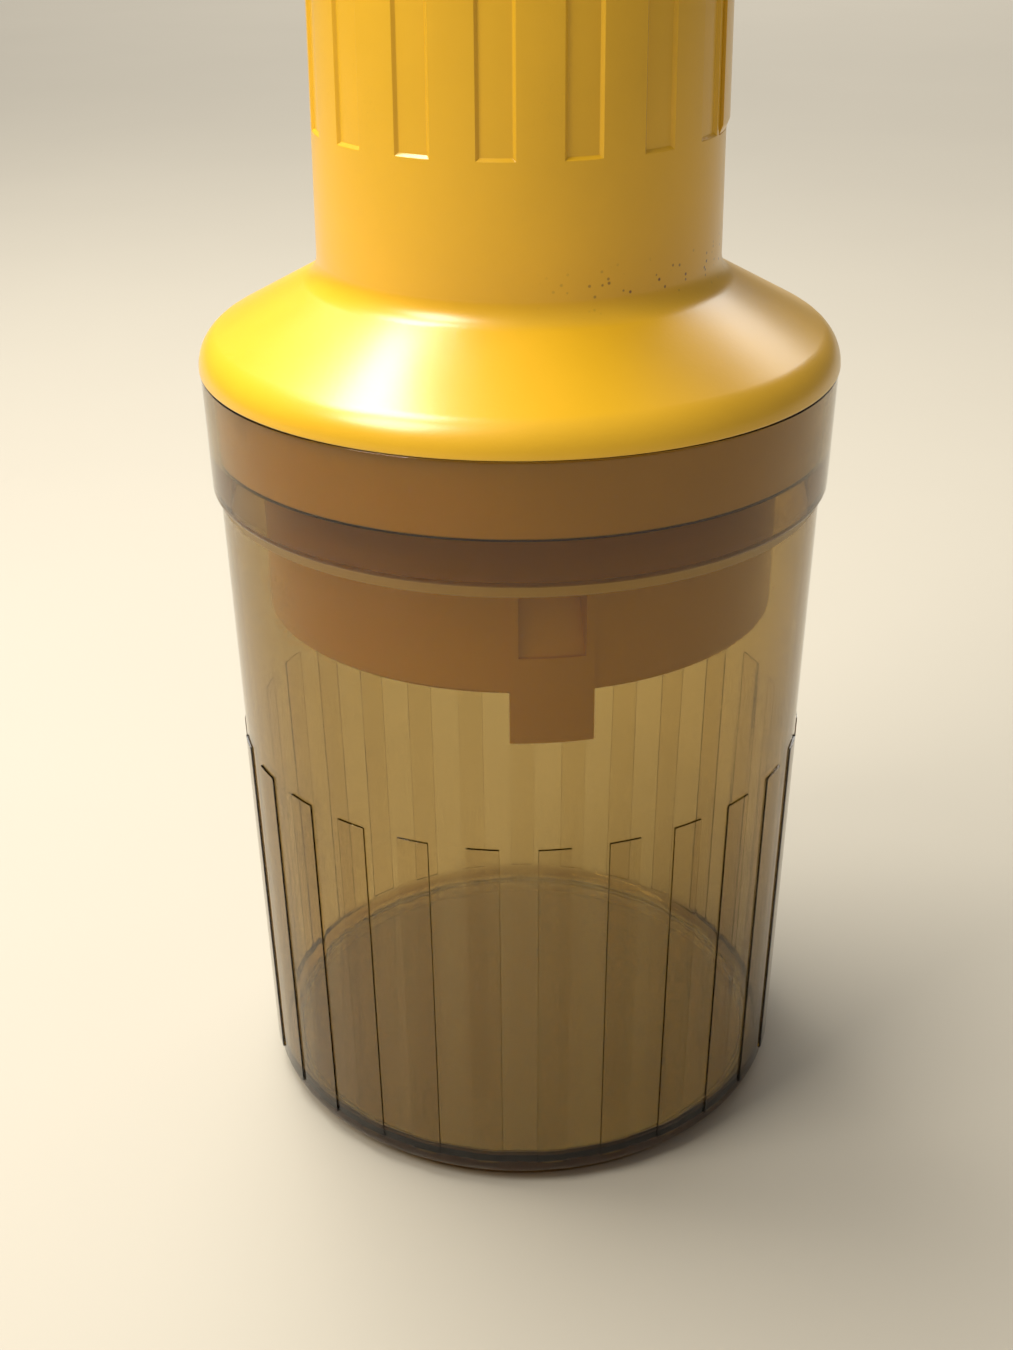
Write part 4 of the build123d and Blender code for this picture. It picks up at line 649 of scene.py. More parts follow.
def smoked_plastic(finishes, wall, lip_low, lip_high):
    """Clear brown plastic that takes its tint from its depth, with fine scratches, a dull lip and a pale
    glow painted on that lip.
    """
    bench = MaterialBench("Smoked clear plastic")
    marks = bench.group(fine_scratches(), Scale=16.0, Width=0.003)
    specks = bench.group(dirt_specks(), Scale=240.0, Share=0.03)
    level = bench.split("ShaderNodeSeparateXYZ", bench.place)["Z"]
    fade_in, fade_out = 0.0001, 0.0004  # how far the dull lip and its painted glow fade at their lower and upper end
    lip_start = bench.between(level, lip_low - fade_in, lip_low)
    lip_end = bench.between(level, lip_high - fade_out, lip_high, 1.0, 0.0)
    dull_lip_with_painted_glow = bench.maths("MULTIPLY", lip_start, lip_end)
    haze = bench.maths("MAXIMUM", bench.maths("MULTIPLY", marks["Mask"], 0.6), specks["Mask"])
    roughness = bench.maths("MAXIMUM", bench.between(haze, 0.0, 1.0, 0.02, 0.22),
                            bench.maths("MULTIPLY", dull_lip_with_painted_glow, 0.35))
    bench.feed_all(bench.shader, Base_Color=(0.98, 0.97, 0.95, 1.0), Roughness=roughness,
                   IOR=1.49, Transmission_Weight=1.0)
    bench.bump(haze, distance=0.00004, strength=0.35)
    # painted glow: a pale diffuse layer on the lip stands in for the light that the clear wall gathers and
    # lets out at its edge; its roughness is real
    glow = bench.feed_all(bench.add("ShaderNodeBsdfDiffuse"), Color=(*finishes.lip, 1.0))
    painted_glow_lip = bench.blend_shaders(bench.maths("MULTIPLY", dull_lip_with_painted_glow, finishes.lip_painted_glow),
                                  bench.shader.outputs[0], glow.outputs[0])
    shade = bench.feed_all(bench.add("ShaderNodeBsdfTransparent"), Color=SMOKED_SHADE)
    shadow_ray = bench.add("ShaderNodeLightPath").outputs["Is Shadow Ray"]
    surface = bench.blend_shaders(shadow_ray, painted_glow_lip, shade.outputs[0])
    bench.link(surface, bench.output.inputs["Surface"])
    least, spare = 0.01, 1.1  # the density stays a little above what the darkest colour needs
    taken = [-log(max(part, least)) / wall for part in finishes.smoke]
    density = max(taken) * spare
    tint = (*[1 - part / density for part in taken], 1.0)
    depth = bench.feed_all(bench.add("ShaderNodeVolumeAbsorption"), Color=tint, Density=density)
    bench.link(depth.outputs[0], bench.output.inputs["Volume"])
    return bench.material


def dull_plastic(name, tint, roughness=0.45, dust=0.3):
    """Plain moulded plastic with a fine skin and a little flour dust."""
    bench = MaterialBench(name)
    skin = bench.group(moulded_skin(), Peel_Scale=1600.0)
    marks = bench.group(fine_scratches(), Scale=20.0, Width=0.004)
    powder = bench.group(settled_dust(), Amount=dust)
    base = Vector(tint)
    shade = bench.blend(skin["Shade"], base * 0.9, base * 1.1)
    scuffed = base * 1.8 + Vector((0.02, 0.02, 0.02))
    marked = bench.blend(bench.maths("MULTIPLY", marks["Mask"], 0.25), shade, scuffed)
    bench.feed_all(bench.shader, Base_Color=bench.blend(powder["Mask"], marked, FLOUR_DUST),
                   Roughness=bench.between(skin["Shade"], 0.0, 1.0, roughness - 0.04, roughness + 0.06))
    bench.bump(skin["Height"], distance=0.00008, strength=0.6)
    return bench.material


def worked_metal(name, tint, roughness, cast=False):
    """Turned or cast metal: fine lines or a grainy skin, with darker and lighter patches."""
    bench = MaterialBench(name)
    stretch = (1.0, 1.0, 1.0) if cast else (1.0, 1.0, 26.0)
    mapping = bench.feed_all(bench.add("ShaderNodeMapping"), Vector=bench.place, Scale=stretch)
    grain = bench.noise(mapping.outputs["Vector"], 700.0 if cast else 90.0, 5.0, 0.65)
    patches = bench.between(bench.noise(bench.place, 45.0), 0.3, 0.7)
    base = Vector(tint)
    bench.feed_all(bench.shader, Base_Color=bench.blend(patches, base * 0.82, base * 1.08), Metallic=1.0,
                   Roughness=bench.between(grain, 0.3, 0.7, roughness - 0.07, roughness + 0.10))
    bench.bump(grain, distance=0.00012 if cast else 0.00003, strength=0.6)
    return bench.material


def grinding_stone(finishes):
    """Bonded stone: coarse light and dark grit with pits."""
    bench = MaterialBench("Grinding stone")
    grit = bench.feed_all(bench.add("ShaderNodeTexVoronoi"), Vector=bench.place, Scale=620.0).outputs
    tone = bench.split("ShaderNodeSeparateColor", grit["Color"])
    base = Vector(finishes.stone)
    grains = bench.blend(tone[0], base * 0.62, base * 1.35)
    flour = bench.between(bench.noise(bench.place, 60.0, 4.0), 0.45, 0.7)
    floury = bench.blend(bench.maths("MULTIPLY", flour, 0.5), grains, FLOUR)
    bench.feed_all(bench.shader, Base_Color=floury, Roughness=bench.between(tone[1], 0.0, 1.0, 0.82, 0.98))
    pits = bench.maths("ADD", grit["Distance"], bench.noise(bench.place, 900.0, 4.0))
    bench.bump(pits, distance=0.0004, strength=0.8)
    return bench.material


def wound_copper(finishes):
    """Enamelled copper wire: close turns across the coil, with shade painted darker in the grooves between
    turns.
    """
    bench = MaterialBench("Wound copper")
    wave = bench.add("ShaderNodeTexWave", wave_type="BANDS", bands_direction="DIAGONAL")
    turns = bench.feed_all(wave, Vector=bench.place, Scale=480.0, Distortion=1.5).outputs["Fac"]
    base = Vector(finishes.copper)
    # painted shade: the colour falls to under half in the grooves between turns, where the bump is low
    bench.feed_all(bench.shader, Base_Color=bench.blend(turns, base * 0.45, base * 1.15),
                   Roughness=bench.between(turns, 0.0, 1.0, 0.42, 0.26), Metallic=0.85, Coat_Weight=0.4)
    bench.bump(turns, distance=0.0002, strength=0.7)
    return bench.material


def floor_paint(finishes):
    """Pale matt floor, with hardly any mottling."""
    bench = MaterialBench("Pale floor")
    tone = bench.between(bench.noise(bench.place, 3.0), 0.3, 0.7)
    base = Vector(finishes.floor)
    bench.feed_all(bench.shader, Base_Color=bench.blend(tone, base * 0.985, base * 1.01),
                   Roughness=0.75, Specular_IOR_Level=0.2)
    return bench.material


MATERIALS = {}  # the finishes made so far, by slot


def material_for(context, slot):
    """The finish of a material slot of the record, built once."""
    finishes = context.scene.mill_finishes
    container = context.scene.mill_container
    makers = {
        "yellow_plastic": lambda: yellow_plastic(finishes, low("motor_plate").z + SPECK_RISE),
        "smoked_plastic": lambda: smoked_plastic(finishes, container.wall, container.collar_level,
                                                 container.collar_level + container.collar_slope),
        "black_plastic": lambda: dull_plastic("Black plastic", finishes.black, 0.42, 0.25),
        "pale_plastic": lambda: dull_plastic("Pale plastic", finishes.pale, 0.5, 0.7),
        "cast_metal": lambda: worked_metal("Cast metal", finishes.metal, 0.42, cast=True),
        "steel": lambda: worked_metal("Turned steel", finishes.steel, 0.28),
        "copper": lambda: wound_copper(finishes),
        "stone": lambda: grinding_stone(finishes),
        "carbon": lambda: dull_plastic("Carbon", (0.03, 0.03, 0.032), 0.6, 0.0),
        "soft_rubber": lambda: dull_plastic("Rubber", finishes.rubber, 0.7, 0.3),
    }
    if slot not in MATERIALS:
        MATERIALS[slot] = makers[slot]()
    return MATERIALS[slot]


# ------------------------------------------------------------------ the mill's pieces
class MILL_OT_container(Operator):
    """Flour container: smoked cup with foot ring, collar and fine ribs"""
    bl_idname = "mill.container"
    bl_label = "Flour container"

    def execute(self, context):
        size = context.scene.mill_container
        top = high("flour_container").z
        per_rib, half_rib_sides = 13, 3  # sides from rib to rib, and in half a rib
        ledge_edge, ledge_corner = 0.0002, 0.0004

        def wall(level):
            return size.base_radius + level * tan(size.draft)

        def collar_inner(level):
            return wall(level) + size.collar_step - size.collar_wall

        inside_low = wall(size.floor_top) - size.wall
        ledge = low("motor_housing").z - size.seat_gap
        lip = size.collar_level + size.collar_slope
        outline = rounded([
            (size.foot_radius - size.foot_width, size.floor_top - size.floor_thickness),
            (size.foot_radius - size.foot_width, 0.0, PLAIN_EDGE),
            (size.foot_radius, 0.0, PLAIN_EDGE),
            (size.foot_radius, size.foot_height),
            (wall(size.foot_height), size.foot_height, size.base_round),
            (wall(size.rib_low), size.rib_low),
            (wall(size.rib_high), size.rib_high),
            (wall(size.collar_level), size.collar_level),
            (wall(lip) + size.collar_step, lip, size.lip_round),
            (wall(top) + size.collar_step, top, RIM_EDGE),
            (collar_inner(top), top, RIM_EDGE),
            (collar_inner(ledge), ledge, ledge_edge),
            (wall(ledge) - size.wall, ledge, ledge_corner),
            (inside_low, size.floor_top, size.inside_round),
            (size.foot_radius - size.foot_width, size.floor_top),
        ])
        cup = turned("flour_cup", outline, size.rib_count * per_rib, start=-pi / 2 + size.rib_turn,
                     capped=True)
        spacing = 360 / size.rib_count
        half_rib = spacing * half_rib_sides / per_rib

        def on_rib(middle):
            outside = Vector(middle[:2]).length > wall(middle.z) - size.wall / 4
            beside = off_centre(azimuth(middle) + 90 - degrees(size.rib_turn), spacing)
            return outside and size.rib_low < middle.z < size.rib_high and beside < half_rib

        push_faces(cup, on_rib, size.rib_height, size.rib_lean)
        soften_edges(cup, size.edge_width)
        finish(context, cup, "container", "smoked_plastic", "flour_container")
        return {"FINISHED"}


class MILL_OT_housing(Operator):
    """Motor housing: rim, shoulder, neck and fluted cylinder in one moulding"""
    bl_idname = "mill.housing"
    bl_label = "Motor housing"

    def execute(self, context):
        size = context.scene.mill_housing
        cup = context.scene.mill_container
        lowest = low("motor_housing").z
        top = high("motor_housing").z
        rim_radius = high("motor_housing").x
        rim_low = high("flour_container").z + cup.seat_gap
        rim_high = rim_low + size.rim_height
        neck = rim_high + (rim_radius - size.neck_radius) * tan(size.shoulder_slope)

        def cylinder(level):
            return size.neck_radius - (level - neck) * tan(size.draft)

        def skirt(level):
            return cup.base_radius + level * tan(cup.draft) + cup.collar_step - cup.collar_wall - size.slip

        slope = tan(size.shoulder_slope)
        inner_neck = neck - size.wall / cos(size.shoulder_slope) + size.wall * slope
        inner_corner = inner_neck - (rim_radius - size.neck_radius) * slope
        flute_low = neck + size.flute_low
        flute_high = flute_low + size.flute_length
        panel_low = neck + size.panel_low
        panel_high = panel_low + size.panel_length
        spring_room, panel_lean, flute_lean = 0.0012, 0.0001, 0.9
        skirt_edge, roof_edge = 0.0003, 0.0004
        roof_bore = high("lift_spring").x + spring_room
        ledge_low = high("rubber_mounts").z
        ledge_high = high("plate_screws").z
        per_flute = 11  # sides from flute to flute
        half_flute_sides, half_panel_sides = 2.5, 7.5
        sides = size.flute_count * per_flute
        outline = rounded([
            (skirt(lowest) - size.skirt_wall, lowest, skirt_edge),
            (skirt(lowest), lowest, PLAIN_EDGE),
            (skirt(rim_low), rim_low),
            (rim_radius, rim_low, size.edge_round),
            (rim_radius, rim_high, size.rim_round),
            (size.neck_radius, neck, size.neck_round),
            (cylinder(panel_low), panel_low),
            (cylinder(flute_low), flute_low),
            (cylinder(flute_high), flute_high),
            (cylinder(panel_high), panel_high),
            (cylinder(top), top, roof_edge),
            (roof_bore, top),
            (roof_bore, top - size.roof),
            (cylinder(top) - size.wall, top - size.roof),
            (cylinder(ledge_high) - size.wall, ledge_high),
            (cylinder(ledge_low) - size.wall - size.ledge_width, ledge_high),
            (cylinder(ledge_low) - size.wall - size.ledge_width, ledge_low),
            (cylinder(ledge_low) - size.wall, ledge_low),
            (size.neck_radius - size.wall, inner_neck, size.neck_round + size.wall),
            (rim_radius - size.wall, inner_corner),
            (rim_radius - size.wall, rim_low + size.skirt_wall),
            (skirt(rim_low) - size.skirt_wall, rim_low + size.skirt_wall),
        ])
        shell = turned("housing_shell", outline, sides, start=pi / sides)
        spacing = 360 / size.flute_count
        half_flute = spacing * half_flute_sides / per_flute
        half_panel = spacing * half_panel_sides / per_flute

        def outside(middle):
            return Vector(middle[:2]).length > cylinder(middle.z) - size.wall / 4

        def on_flute(middle):
            turn = azimuth(middle)
            return (outside(middle) and flute_low < middle.z < flute_high
                    and off_centre(turn, spacing) < half_flute and abs(turn) > spacing / 2)

        def on_panel(middle):
            return (outside(middle) and panel_low < middle.z < panel_high
                    and abs(azimuth(middle)) < half_panel)

        push_faces(shell, on_flute, -size.flute_depth, size.flute_depth * flute_lean)
        push_faces(shell, on_panel, -size.panel_depth, panel_lean)
        soften_edges(shell, FINE_EDGE, sharpness=24.0)
        cut(shell, self.openings(context, size, flute_high))
        finish(context, shell, "head", "yellow_plastic", "motor_housing")
        return {"FINISHED"}

    def openings(self, context, size, flute_high):
        """Vent slots at the flutes' upper ends, and the openings for switch and duct."""
        reach = 4 * size.wall
        vent_end = size.vent_width * 0.45  # round of a vent's ends, a little under half its width
        middle = flute_high - size.vent_drop - size.vent_length / 2
        cutters = []
        for index in range(1, size.flute_count):
            turn = 2 * pi * index / size.flute_count
            place = (size.neck_radius * cos(turn), size.neck_radius * sin(turn), middle)
            vent = (reach, size.vent_width, size.vent_length)
            cutters.append(block("vent", place, vent, turn, vent_end))
        switch_low, switch_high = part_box("switch_body")
        cutters.append(block("switch_hole", (size.neck_radius, 0, (switch_low.z + switch_high.z) / 2),
                             (2 * reach, 2 * (size.switch_half_width + size.hole_room),
                              2 * (size.switch_half_height + size.hole_room))))
        duct = context.scene.mill_hopper
        for level in (high("motor_housing").z, high("plate_screws").z):
            cutters.append(block("duct_hole", (0, duct.duct_centre, level),
                                 (2 * (duct.duct_half_width + size.hole_room),
                                  2 * (duct.duct_half_depth + size.hole_room), 2 * reach)))
        return joined(cutters)


class MILL_OT_drum(Operator):
    """Flour drum: the cover under the head with its drum, chute and pocket"""
    bl_idname = "mill.drum"
    bl_label = "Flour drum"

    def execute(self, context):
        soft_copy(context, "underside_cover", "flour_drum", "head", "yellow_plastic", FINE_EDGE)
        return {"FINISHED"}


class MILL_OT_switch(Operator):
    """Switch: raised panel strip, switch frame and rocker with its two marks"""
    bl_idname = "mill.switch"
    bl_label = "Switch"

    def execute(self, context):
        strip_edge, frame_edge, key_edge = 0.0002, 0.0003, 0.00035
        soft_copy(context, "switch_panel", "switch_strip", "head", "yellow_plastic", strip_edge)
        soft_copy(context, "switch_body", "switch_frame", "head", "black_plastic", frame_edge)
        key = soft_copy(context, "rocker", "switch_key", "rocker", "black_plastic", key_edge)
        self.marks(context, key)
        return {"FINISHED"}

    def marks(self, context, key):
        """The plain on and off marks, set on the rocker's two ends."""
        size = context.scene.mill_housing
        key_low, key_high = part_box("rocker")
        middle = (key_low + key_high) / 2
        marks = []
        for text, side in (("I", 1), ("O", -1)):
            start = Vector((key_high.x * 2, 0, middle.z + side * size.mark_spread))
            place, outward = key.ray_cast(start, Vector((-1, 0, 0)))[1:3]
            mark = figure("mark", text, size.mark_size, size.mark_proud)
            set_down(mark, place, outward)
            marks.append(mark)
        switch_marks = joined(marks)
        switch_marks.name = "switch_marks"
        finish(context, switch_marks, "rocker", "pale_plastic")


class MILL_OT_fineness_ring(Operator):
    """Fineness ring: grip grooves, groove for the crossbar and a scale of plain figures"""
    bl_idname = "mill.fineness_ring"
    bl_label = "Fineness ring"

    def execute(self, context):
        size = context.scene.mill_ring
        bottom, top = low("fineness_ring").z, high("fineness_ring").z
        radius = high("fineness_ring").x
        grip_low = top - size.grip_height
        chamfer, grip_lean, ring_edge = 0.0009, 0.0003, 0.0002
        per_grip = 6  # sides from grip to grip
        outline = rounded([
            (size.inner_radius, bottom), (radius, bottom, PLAIN_EDGE), (radius, grip_low),
            (radius, top - chamfer), (radius - chamfer, top), (size.inner_radius, top),
            (size.inner_radius, bottom + size.groove_high), (size.groove_radius, bottom + size.groove_high),
            (size.groove_radius, bottom + size.groove_low), (size.inner_radius, bottom + size.groove_low),
        ])
        ring = turned("fineness_collar", outline, size.grip_count * per_grip)
        spacing = 360 / size.grip_count

        def on_grip(middle):
            return (Vector(middle[:2]).length > size.groove_radius and grip_low < middle.z < top - chamfer
                    and off_centre(azimuth(middle) + spacing / 4, spacing) < spacing / 4)

        push_faces(ring, on_grip, -size.grip_depth, grip_lean)
        soften_edges(ring, ring_edge)
        finish(context, ring, "ring", "black_plastic", "fineness_ring")
        self.scale(context, size, radius, (bottom + grip_low) / 2)
        self.pointer(context, size, bottom)
        return {"FINISHED"}

    def scale(self, context, size, radius, level):
        """Plain figures round the ring's smooth band, the first one at the front."""
        figures = []
        for index in range(size.figure_count):
            turn = -pi / 2 - size.scale_turn * index / (size.figure_count - 1)
            outward = Vector((cos(turn), sin(turn), 0))
            mark = figure("figure", str(index + 1), size.figure_size, size.figure_proud)
            set_down(mark, outward * radius + Vector((0, 0, level)), outward)
            figures.append(mark)
        scale = joined(figures)
        scale.name = "scale_figures"
        finish(context, scale, "ring", "pale_plastic")

    def pointer(self, context, size, bottom):
        """A small raised triangle on the housing, just under the ring's first figure."""
        housing = context.scene.mill_housing
        level = bottom - size.pointer_size
        neck = high("motor_housing").z - housing.length
        reach = housing.neck_radius - (level - neck) * tan(housing.draft)
        start_alone()
        bpy.ops.mesh.primitive_cylinder_add(
            vertices=3, radius=size.pointer_size / 2, depth=size.pointer_proud * 2,
            location=(0, -reach, level), rotation=(pi / 2, 0, 0))
        arrow = context.object
        arrow.name = "scale_pointer"
        bpy.ops.object.transform_apply(location=True, rotation=True, scale=True)
        soften_edges(arrow, size.pointer_proud / 3)
        finish(context, arrow, "head", "pale_plastic")


class MILL_OT_hopper(Operator):
    """Hopper: yellow shell and the smoked hopper with its funnel and outlet"""
    bl_idname = "mill.hopper"
    bl_label = "Hopper"

    def execute(self, context):
        size = context.scene.mill_hopper
        lowest = low("hopper_shell").z
        floor = high("fineness_ring").z + HAIR_GAP
        upper_edge = 0.0007
        rim_top = high("hopper_shell").z
        rim_radius = high("hopper_shell").x
        flare_low = floor + size.neck_height
        flare_high = rim_top - size.rim_height
        inset = size.shell_wall * tan(size.flare / 2)
        spigot_inner = size.spigot_radius - size.spigot_wall
        outline = rounded([
            (spigot_inner, floor), (spigot_inner, lowest + size.shell_floor),
            (size.shell_bore, lowest + size.shell_floor), (size.shell_bore, lowest),
            (size.spigot_radius, lowest),
            (size.spigot_radius, floor), (size.neck_radius, floor, PLAIN_EDGE),
            (size.neck_radius, flare_low, size.shell_round),
            (rim_radius, flare_high, size.shell_round),
            (rim_radius, rim_top, upper_edge),
            (rim_radius - size.shell_wall, rim_top, upper_edge),
            (rim_radius - size.shell_wall, flare_high + inset, size.shell_round - size.shell_wall),
            (size.neck_radius - size.shell_wall, flare_low + inset, size.shell_round + size.shell_wall),
            (size.neck_radius - size.shell_wall, floor + size.shell_floor),
        ])
        shell = turned("hopper_bowl", outline, ROUND_SIDES, capped=True)
        duct_middle = Vector((0, size.duct_centre, floor))
        duct_hole = block("duct_hole", duct_middle,
                          (2 * (size.duct_half_width - size.duct_wall),
                           2 * (size.duct_half_depth - size.duct_wall), 4 * size.shell_floor))
        cut(shell, duct_hole)
        duct_way = block("duct_way", duct_middle - Vector((0, 0, size.spigot_radius / 2)),
                         (2 * (size.duct_half_width + size.hopper_slip),
                          2 * (size.duct_half_depth + size.hopper_slip), size.spigot_radius))
        cut(shell, duct_way)
        bar = block("bar_hole", (0, 0, high("lift_bridge").z - size.bar_thickness / 2 + size.bar_lift / 2),
                    (3 * size.spigot_radius, size.bar_width, size.bar_thickness + size.bar_lift))
        cut(shell, bar)
        soften_edges(shell, FINE_EDGE)
        finish(context, shell, "head", "yellow_plastic", "hopper_shell")
        self.smoked_hopper(context, size, rim_top, rim_radius)
        return {"FINISHED"}

    def smoked_hopper(self, context, size, rim_top, rim_radius):
        """The band and bead turned first, then the outlet's rings set on the duct's outline."""
        top = high("grain_hopper").z
        outer = rim_radius - size.shell_wall - size.hopper_slip
        inner = outer - size.hopper_wall
        outlet_low = low("grain_hopper").z
        outlet_top = outlet_low + size.outlet_height
        mouth = rim_top + size.funnel_rise
        bead_low = rim_top + HAIR_GAP
        hole, rim = 0.010, 0.012  # radii of the outlet's rings before they take the duct's outline
        outline = rounded([
            (hole, outlet_low), (rim, outlet_low), (rim, outlet_top),
            (inner, mouth - size.hopper_wall * 0.5),
            (inner, rim_top - size.skirt_depth), (outer, rim_top - size.skirt_depth),
            (outer, bead_low), (rim_radius, bead_low, PLAIN_EDGE),
            (rim_radius, bead_low + size.bead_height, PLAIN_EDGE), (outer, bead_low + size.bead_height),
            (outer, top, PLAIN_EDGE), (inner, top, PLAIN_EDGE),
            (inner, mouth + size.funnel_lift), (hole, outlet_top + size.funnel_lift),
        ])
        hopper = turned("smoked_hopper", outline, ROUND_SIDES)
        for point in hopper.data.vertices:
            reach = Vector(point.co[:2]).length
            if reach > rim + (rim - hole) / 2:
                continue
            wall = size.duct_wall if reach < (hole + rim) / 2 else 0.0
            half_width, half_depth = size.duct_half_width - wall, size.duct_half_depth - wall
            across, along = point.co.x / reach, point.co.y / reach
            out = 1 / max(abs(across) / half_width, abs(along) / half_depth)
            point.co.x = across * out
            point.co.y = size.duct_centre + along * out
        soften_edges(hopper, FINE_EDGE, sharpness=40.0)
        finish(context, hopper, "hopper", "smoked_plastic", "grain_hopper")


class MILL_OT_lid(Operator):
    """Hopper lid: smoked disc with a skirt, and its knob"""
    bl_idname = "mill.lid"
    bl_label = "Hopper lid"

    def execute(self, context):
        size = context.scene.mill_hopper
        bottom = high("grain_hopper").z + HAIR_GAP
        edge = high("hopper_lid").x
        overhang, bore, crown_round, upper_edge = 0.0016, 0.0018, 0.004, 0.0010
        skirt = edge - overhang - size.hopper_wall - size.hopper_slip
        inner = skirt - size.lid_skirt_wall
        flat = 2 * size.knob_radius
        crown = bottom + size.lid_thickness
        outline = rounded([
            (bore, bottom + size.lid_rise), (flat, bottom + size.lid_rise, crown_round), (inner, bottom),
            (inner, bottom - size.lid_skirt, PLAIN_EDGE), (skirt, bottom - size.lid_skirt, PLAIN_EDGE),
            (skirt, bottom), (edge, bottom, RIM_EDGE), (edge, crown, upper_edge),
            (flat, crown + size.lid_rise, crown_round), (bore, crown + size.lid_rise),
        ])
        lid = turned("lid_disc", outline, ROUND_SIDES)
        finish(context, lid, "lid", "smoked_plastic", "hopper_lid")
        self.knob(context, size)
        return {"FINISHED"}

    def knob(self, context, size):
        """The knob: a neck under a wide head that is a little hollow on top."""
        bottom, top = low("lid_knob").z, high("lid_knob").z
        under_head = bottom + (top - bottom) / 2
        middle, sides = 0.0016, 96
        neck_round, head_edge = 0.0015, 0.0012
        hollow, hollow_share, hollow_round = 0.0007, 0.62, 0.004
        outline = rounded([
            (middle, bottom), (size.knob_neck, bottom, RIM_EDGE),
            (size.knob_neck, under_head - size.knob_round, neck_round),
            (size.knob_radius, under_head, head_edge),
            (size.knob_radius, top, size.knob_round),
            (size.knob_radius * hollow_share, top, hollow_round), (middle, top - hollow),
        ])
        knob = turned("lid_button", outline, sides, capped=True)
        finish(context, knob, "lid", "black_plastic", "lid_knob")


class MILL_OT_inner_pieces(Operator):
    """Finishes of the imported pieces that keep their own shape"""
    bl_idname = "mill.inner_pieces"
    bl_label = "Inner pieces"

    def execute(self, context):
        slots = {part["node"]: part["material_slot"] for part in frame["record"]["subparts"]}
        for node, piece in frame["nodes"].items():
            material = material_for(context, slots[node])
            if not piece.material_slots:
                piece.data.materials.append(material)
            for place in piece.material_slots:
                place.material = material
        return {"FINISHED"}


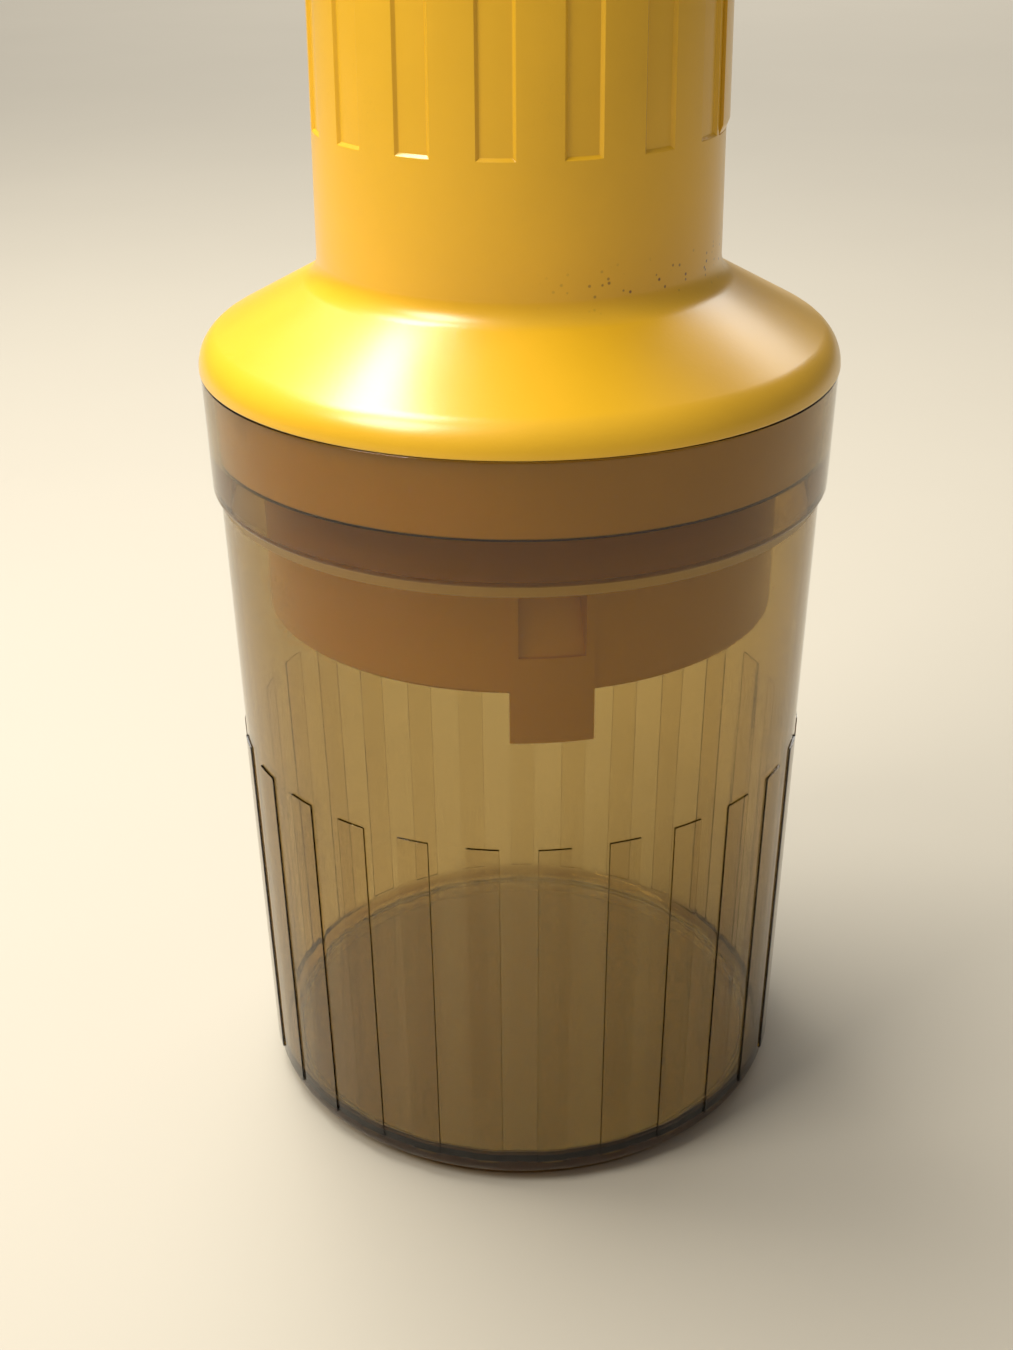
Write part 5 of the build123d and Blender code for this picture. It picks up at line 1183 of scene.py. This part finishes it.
class MILL_OT_stage(Operator):
    """Stage: pale floor, lamps, even light and the camera"""
    bl_idname = "mill.stage"
    bl_label = "Stage"

    def execute(self, context):
        stage = context.scene.mill_stage
        start_alone()
        bpy.ops.mesh.primitive_plane_add(size=stage.floor_size, location=(0, 0, 0))
        floor = context.object
        floor.name = "stage_floor"
        floor.data.materials.append(floor_paint(context.scene.mill_finishes))
        self.even_light(context, stage)
        shoulder = Vector((0, 0, high("flour_container").z))
        far_floor = Vector((0, 2.8, 0))
        self.lamp("key_lamp", (-0.72, -0.58, 1.26), shoulder, (0.55, 0.55), stage.key_power,
                  (1.0, 0.94, 0.84))
        self.lamp("top_lamp", (-0.46, 0.28, 1.45), shoulder, (0.95, 0.55), stage.top_power,
                  (1.0, 0.96, 0.88))
        self.lamp("rear_lamp", (0.0, 3.20, 2.20), far_floor, (4.0, 1.8), stage.rear_power,
                  (1.0, 0.97, 0.92))
        self.camera(context, stage)
        context.scene.view_settings.view_transform = "Standard"
        return {"FINISHED"}

    def even_light(self, context, stage):
        """Even light from all round: dim in gloss, pale where the camera or clear plastic meets it."""
        world = bpy.data.worlds.new("Studio")
        context.scene.world = world
        world.use_nodes = True
        world.node_tree.nodes.clear()
        bench = NodeBench(world.node_tree)
        ray = bench.add("ShaderNodeLightPath").outputs
        warm_white = (1.0, 0.975, 0.93, 1.0)
        light = []
        for strength in (stage.daylight, stage.mirrored, stage.backdrop):
            node = bench.add("ShaderNodeBackground")
            light.append(bench.feed_all(node, Color=warm_white, Strength=strength).outputs[0])
        lighting = bench.blend_shaders(ray["Is Glossy Ray"], light[0], light[1])
        looked_at = bench.maths("MAXIMUM", ray["Is Camera Ray"], ray["Is Transmission Ray"])
        seen = bench.blend_shaders(looked_at, lighting, light[2])
        bench.link(seen, bench.add("ShaderNodeOutputWorld").inputs[0])

    def lamp(self, name, place, target, size, power, tint):
        """A soft oblong lamp that faces a target."""
        light = bpy.data.lights.new(name, "AREA")
        light.shape = "RECTANGLE"
        light.size, light.size_y = size
        light.energy = power
        light.color = tint
        lamp = bpy.data.objects.new(name, light)
        bpy.context.scene.collection.objects.link(lamp)
        lamp.location = place
        lamp.rotation_euler = (target - lamp.location).to_track_quat("-Z", "Y").to_euler()

    def camera(self, context, stage):
        """The camera, set by its place, pitch, yaw and roll."""
        lens = bpy.data.cameras.new("camera")
        lens.lens = stage.lens
        lens.sensor_width = 36.0
        lens.clip_start = 0.01
        camera = bpy.data.objects.new("camera", lens)
        context.scene.collection.objects.link(camera)
        level = Matrix.Rotation(stage.turn, 3, "Z") @ Matrix.Rotation(stage.yaw, 3, "Z")
        aim = level @ Matrix.Rotation(pi / 2 - stage.pitch, 3, "X") @ Matrix.Rotation(stage.roll, 3, "Z")
        place = Matrix.Rotation(stage.turn, 3, "Z") @ Vector((0, -stage.distance, stage.height))
        camera.matrix_world = Matrix.Translation(place) @ aim.to_4x4()
        context.scene.camera = camera


PIECES = (
    MILL_OT_inner_pieces, MILL_OT_container, MILL_OT_housing, MILL_OT_drum, MILL_OT_switch,
    MILL_OT_fineness_ring, MILL_OT_hopper, MILL_OT_lid, MILL_OT_stage,
)


class MILL_PT_pieces(Panel):
    """The mill's pieces and stage in the sidebar"""
    bl_label = "Grain mill"
    bl_idname = "MILL_PT_pieces"
    bl_space_type = "VIEW_3D"
    bl_region_type = "UI"
    bl_category = "Grain mill"

    def draw(self, context):
        column = self.layout.column()
        for piece in PIECES:
            column.operator(piece.bl_idname)
        for name, group in SETTINGS.items():
            box = self.layout.box()
            for key in group.__annotations__:
                box.prop(getattr(context.scene, name), key)


def register():
    for group in (*SETTINGS.values(), *PIECES, MILL_PT_pieces):
        bpy.utils.register_class(group)
    for name, group in SETTINGS.items():
        setattr(bpy.types.Scene, name, PointerProperty(type=group))


def unregister():
    for name in SETTINGS:
        delattr(bpy.types.Scene, name)
    for group in (MILL_PT_pieces, *reversed(PIECES), *reversed(SETTINGS.values())):
        bpy.utils.unregister_class(group)


def main():
    register()
    for piece in PIECES:
        group, name = piece.bl_idname.split(".")
        getattr(getattr(bpy.ops, group), name)()


if __name__ == "__main__":
    main()
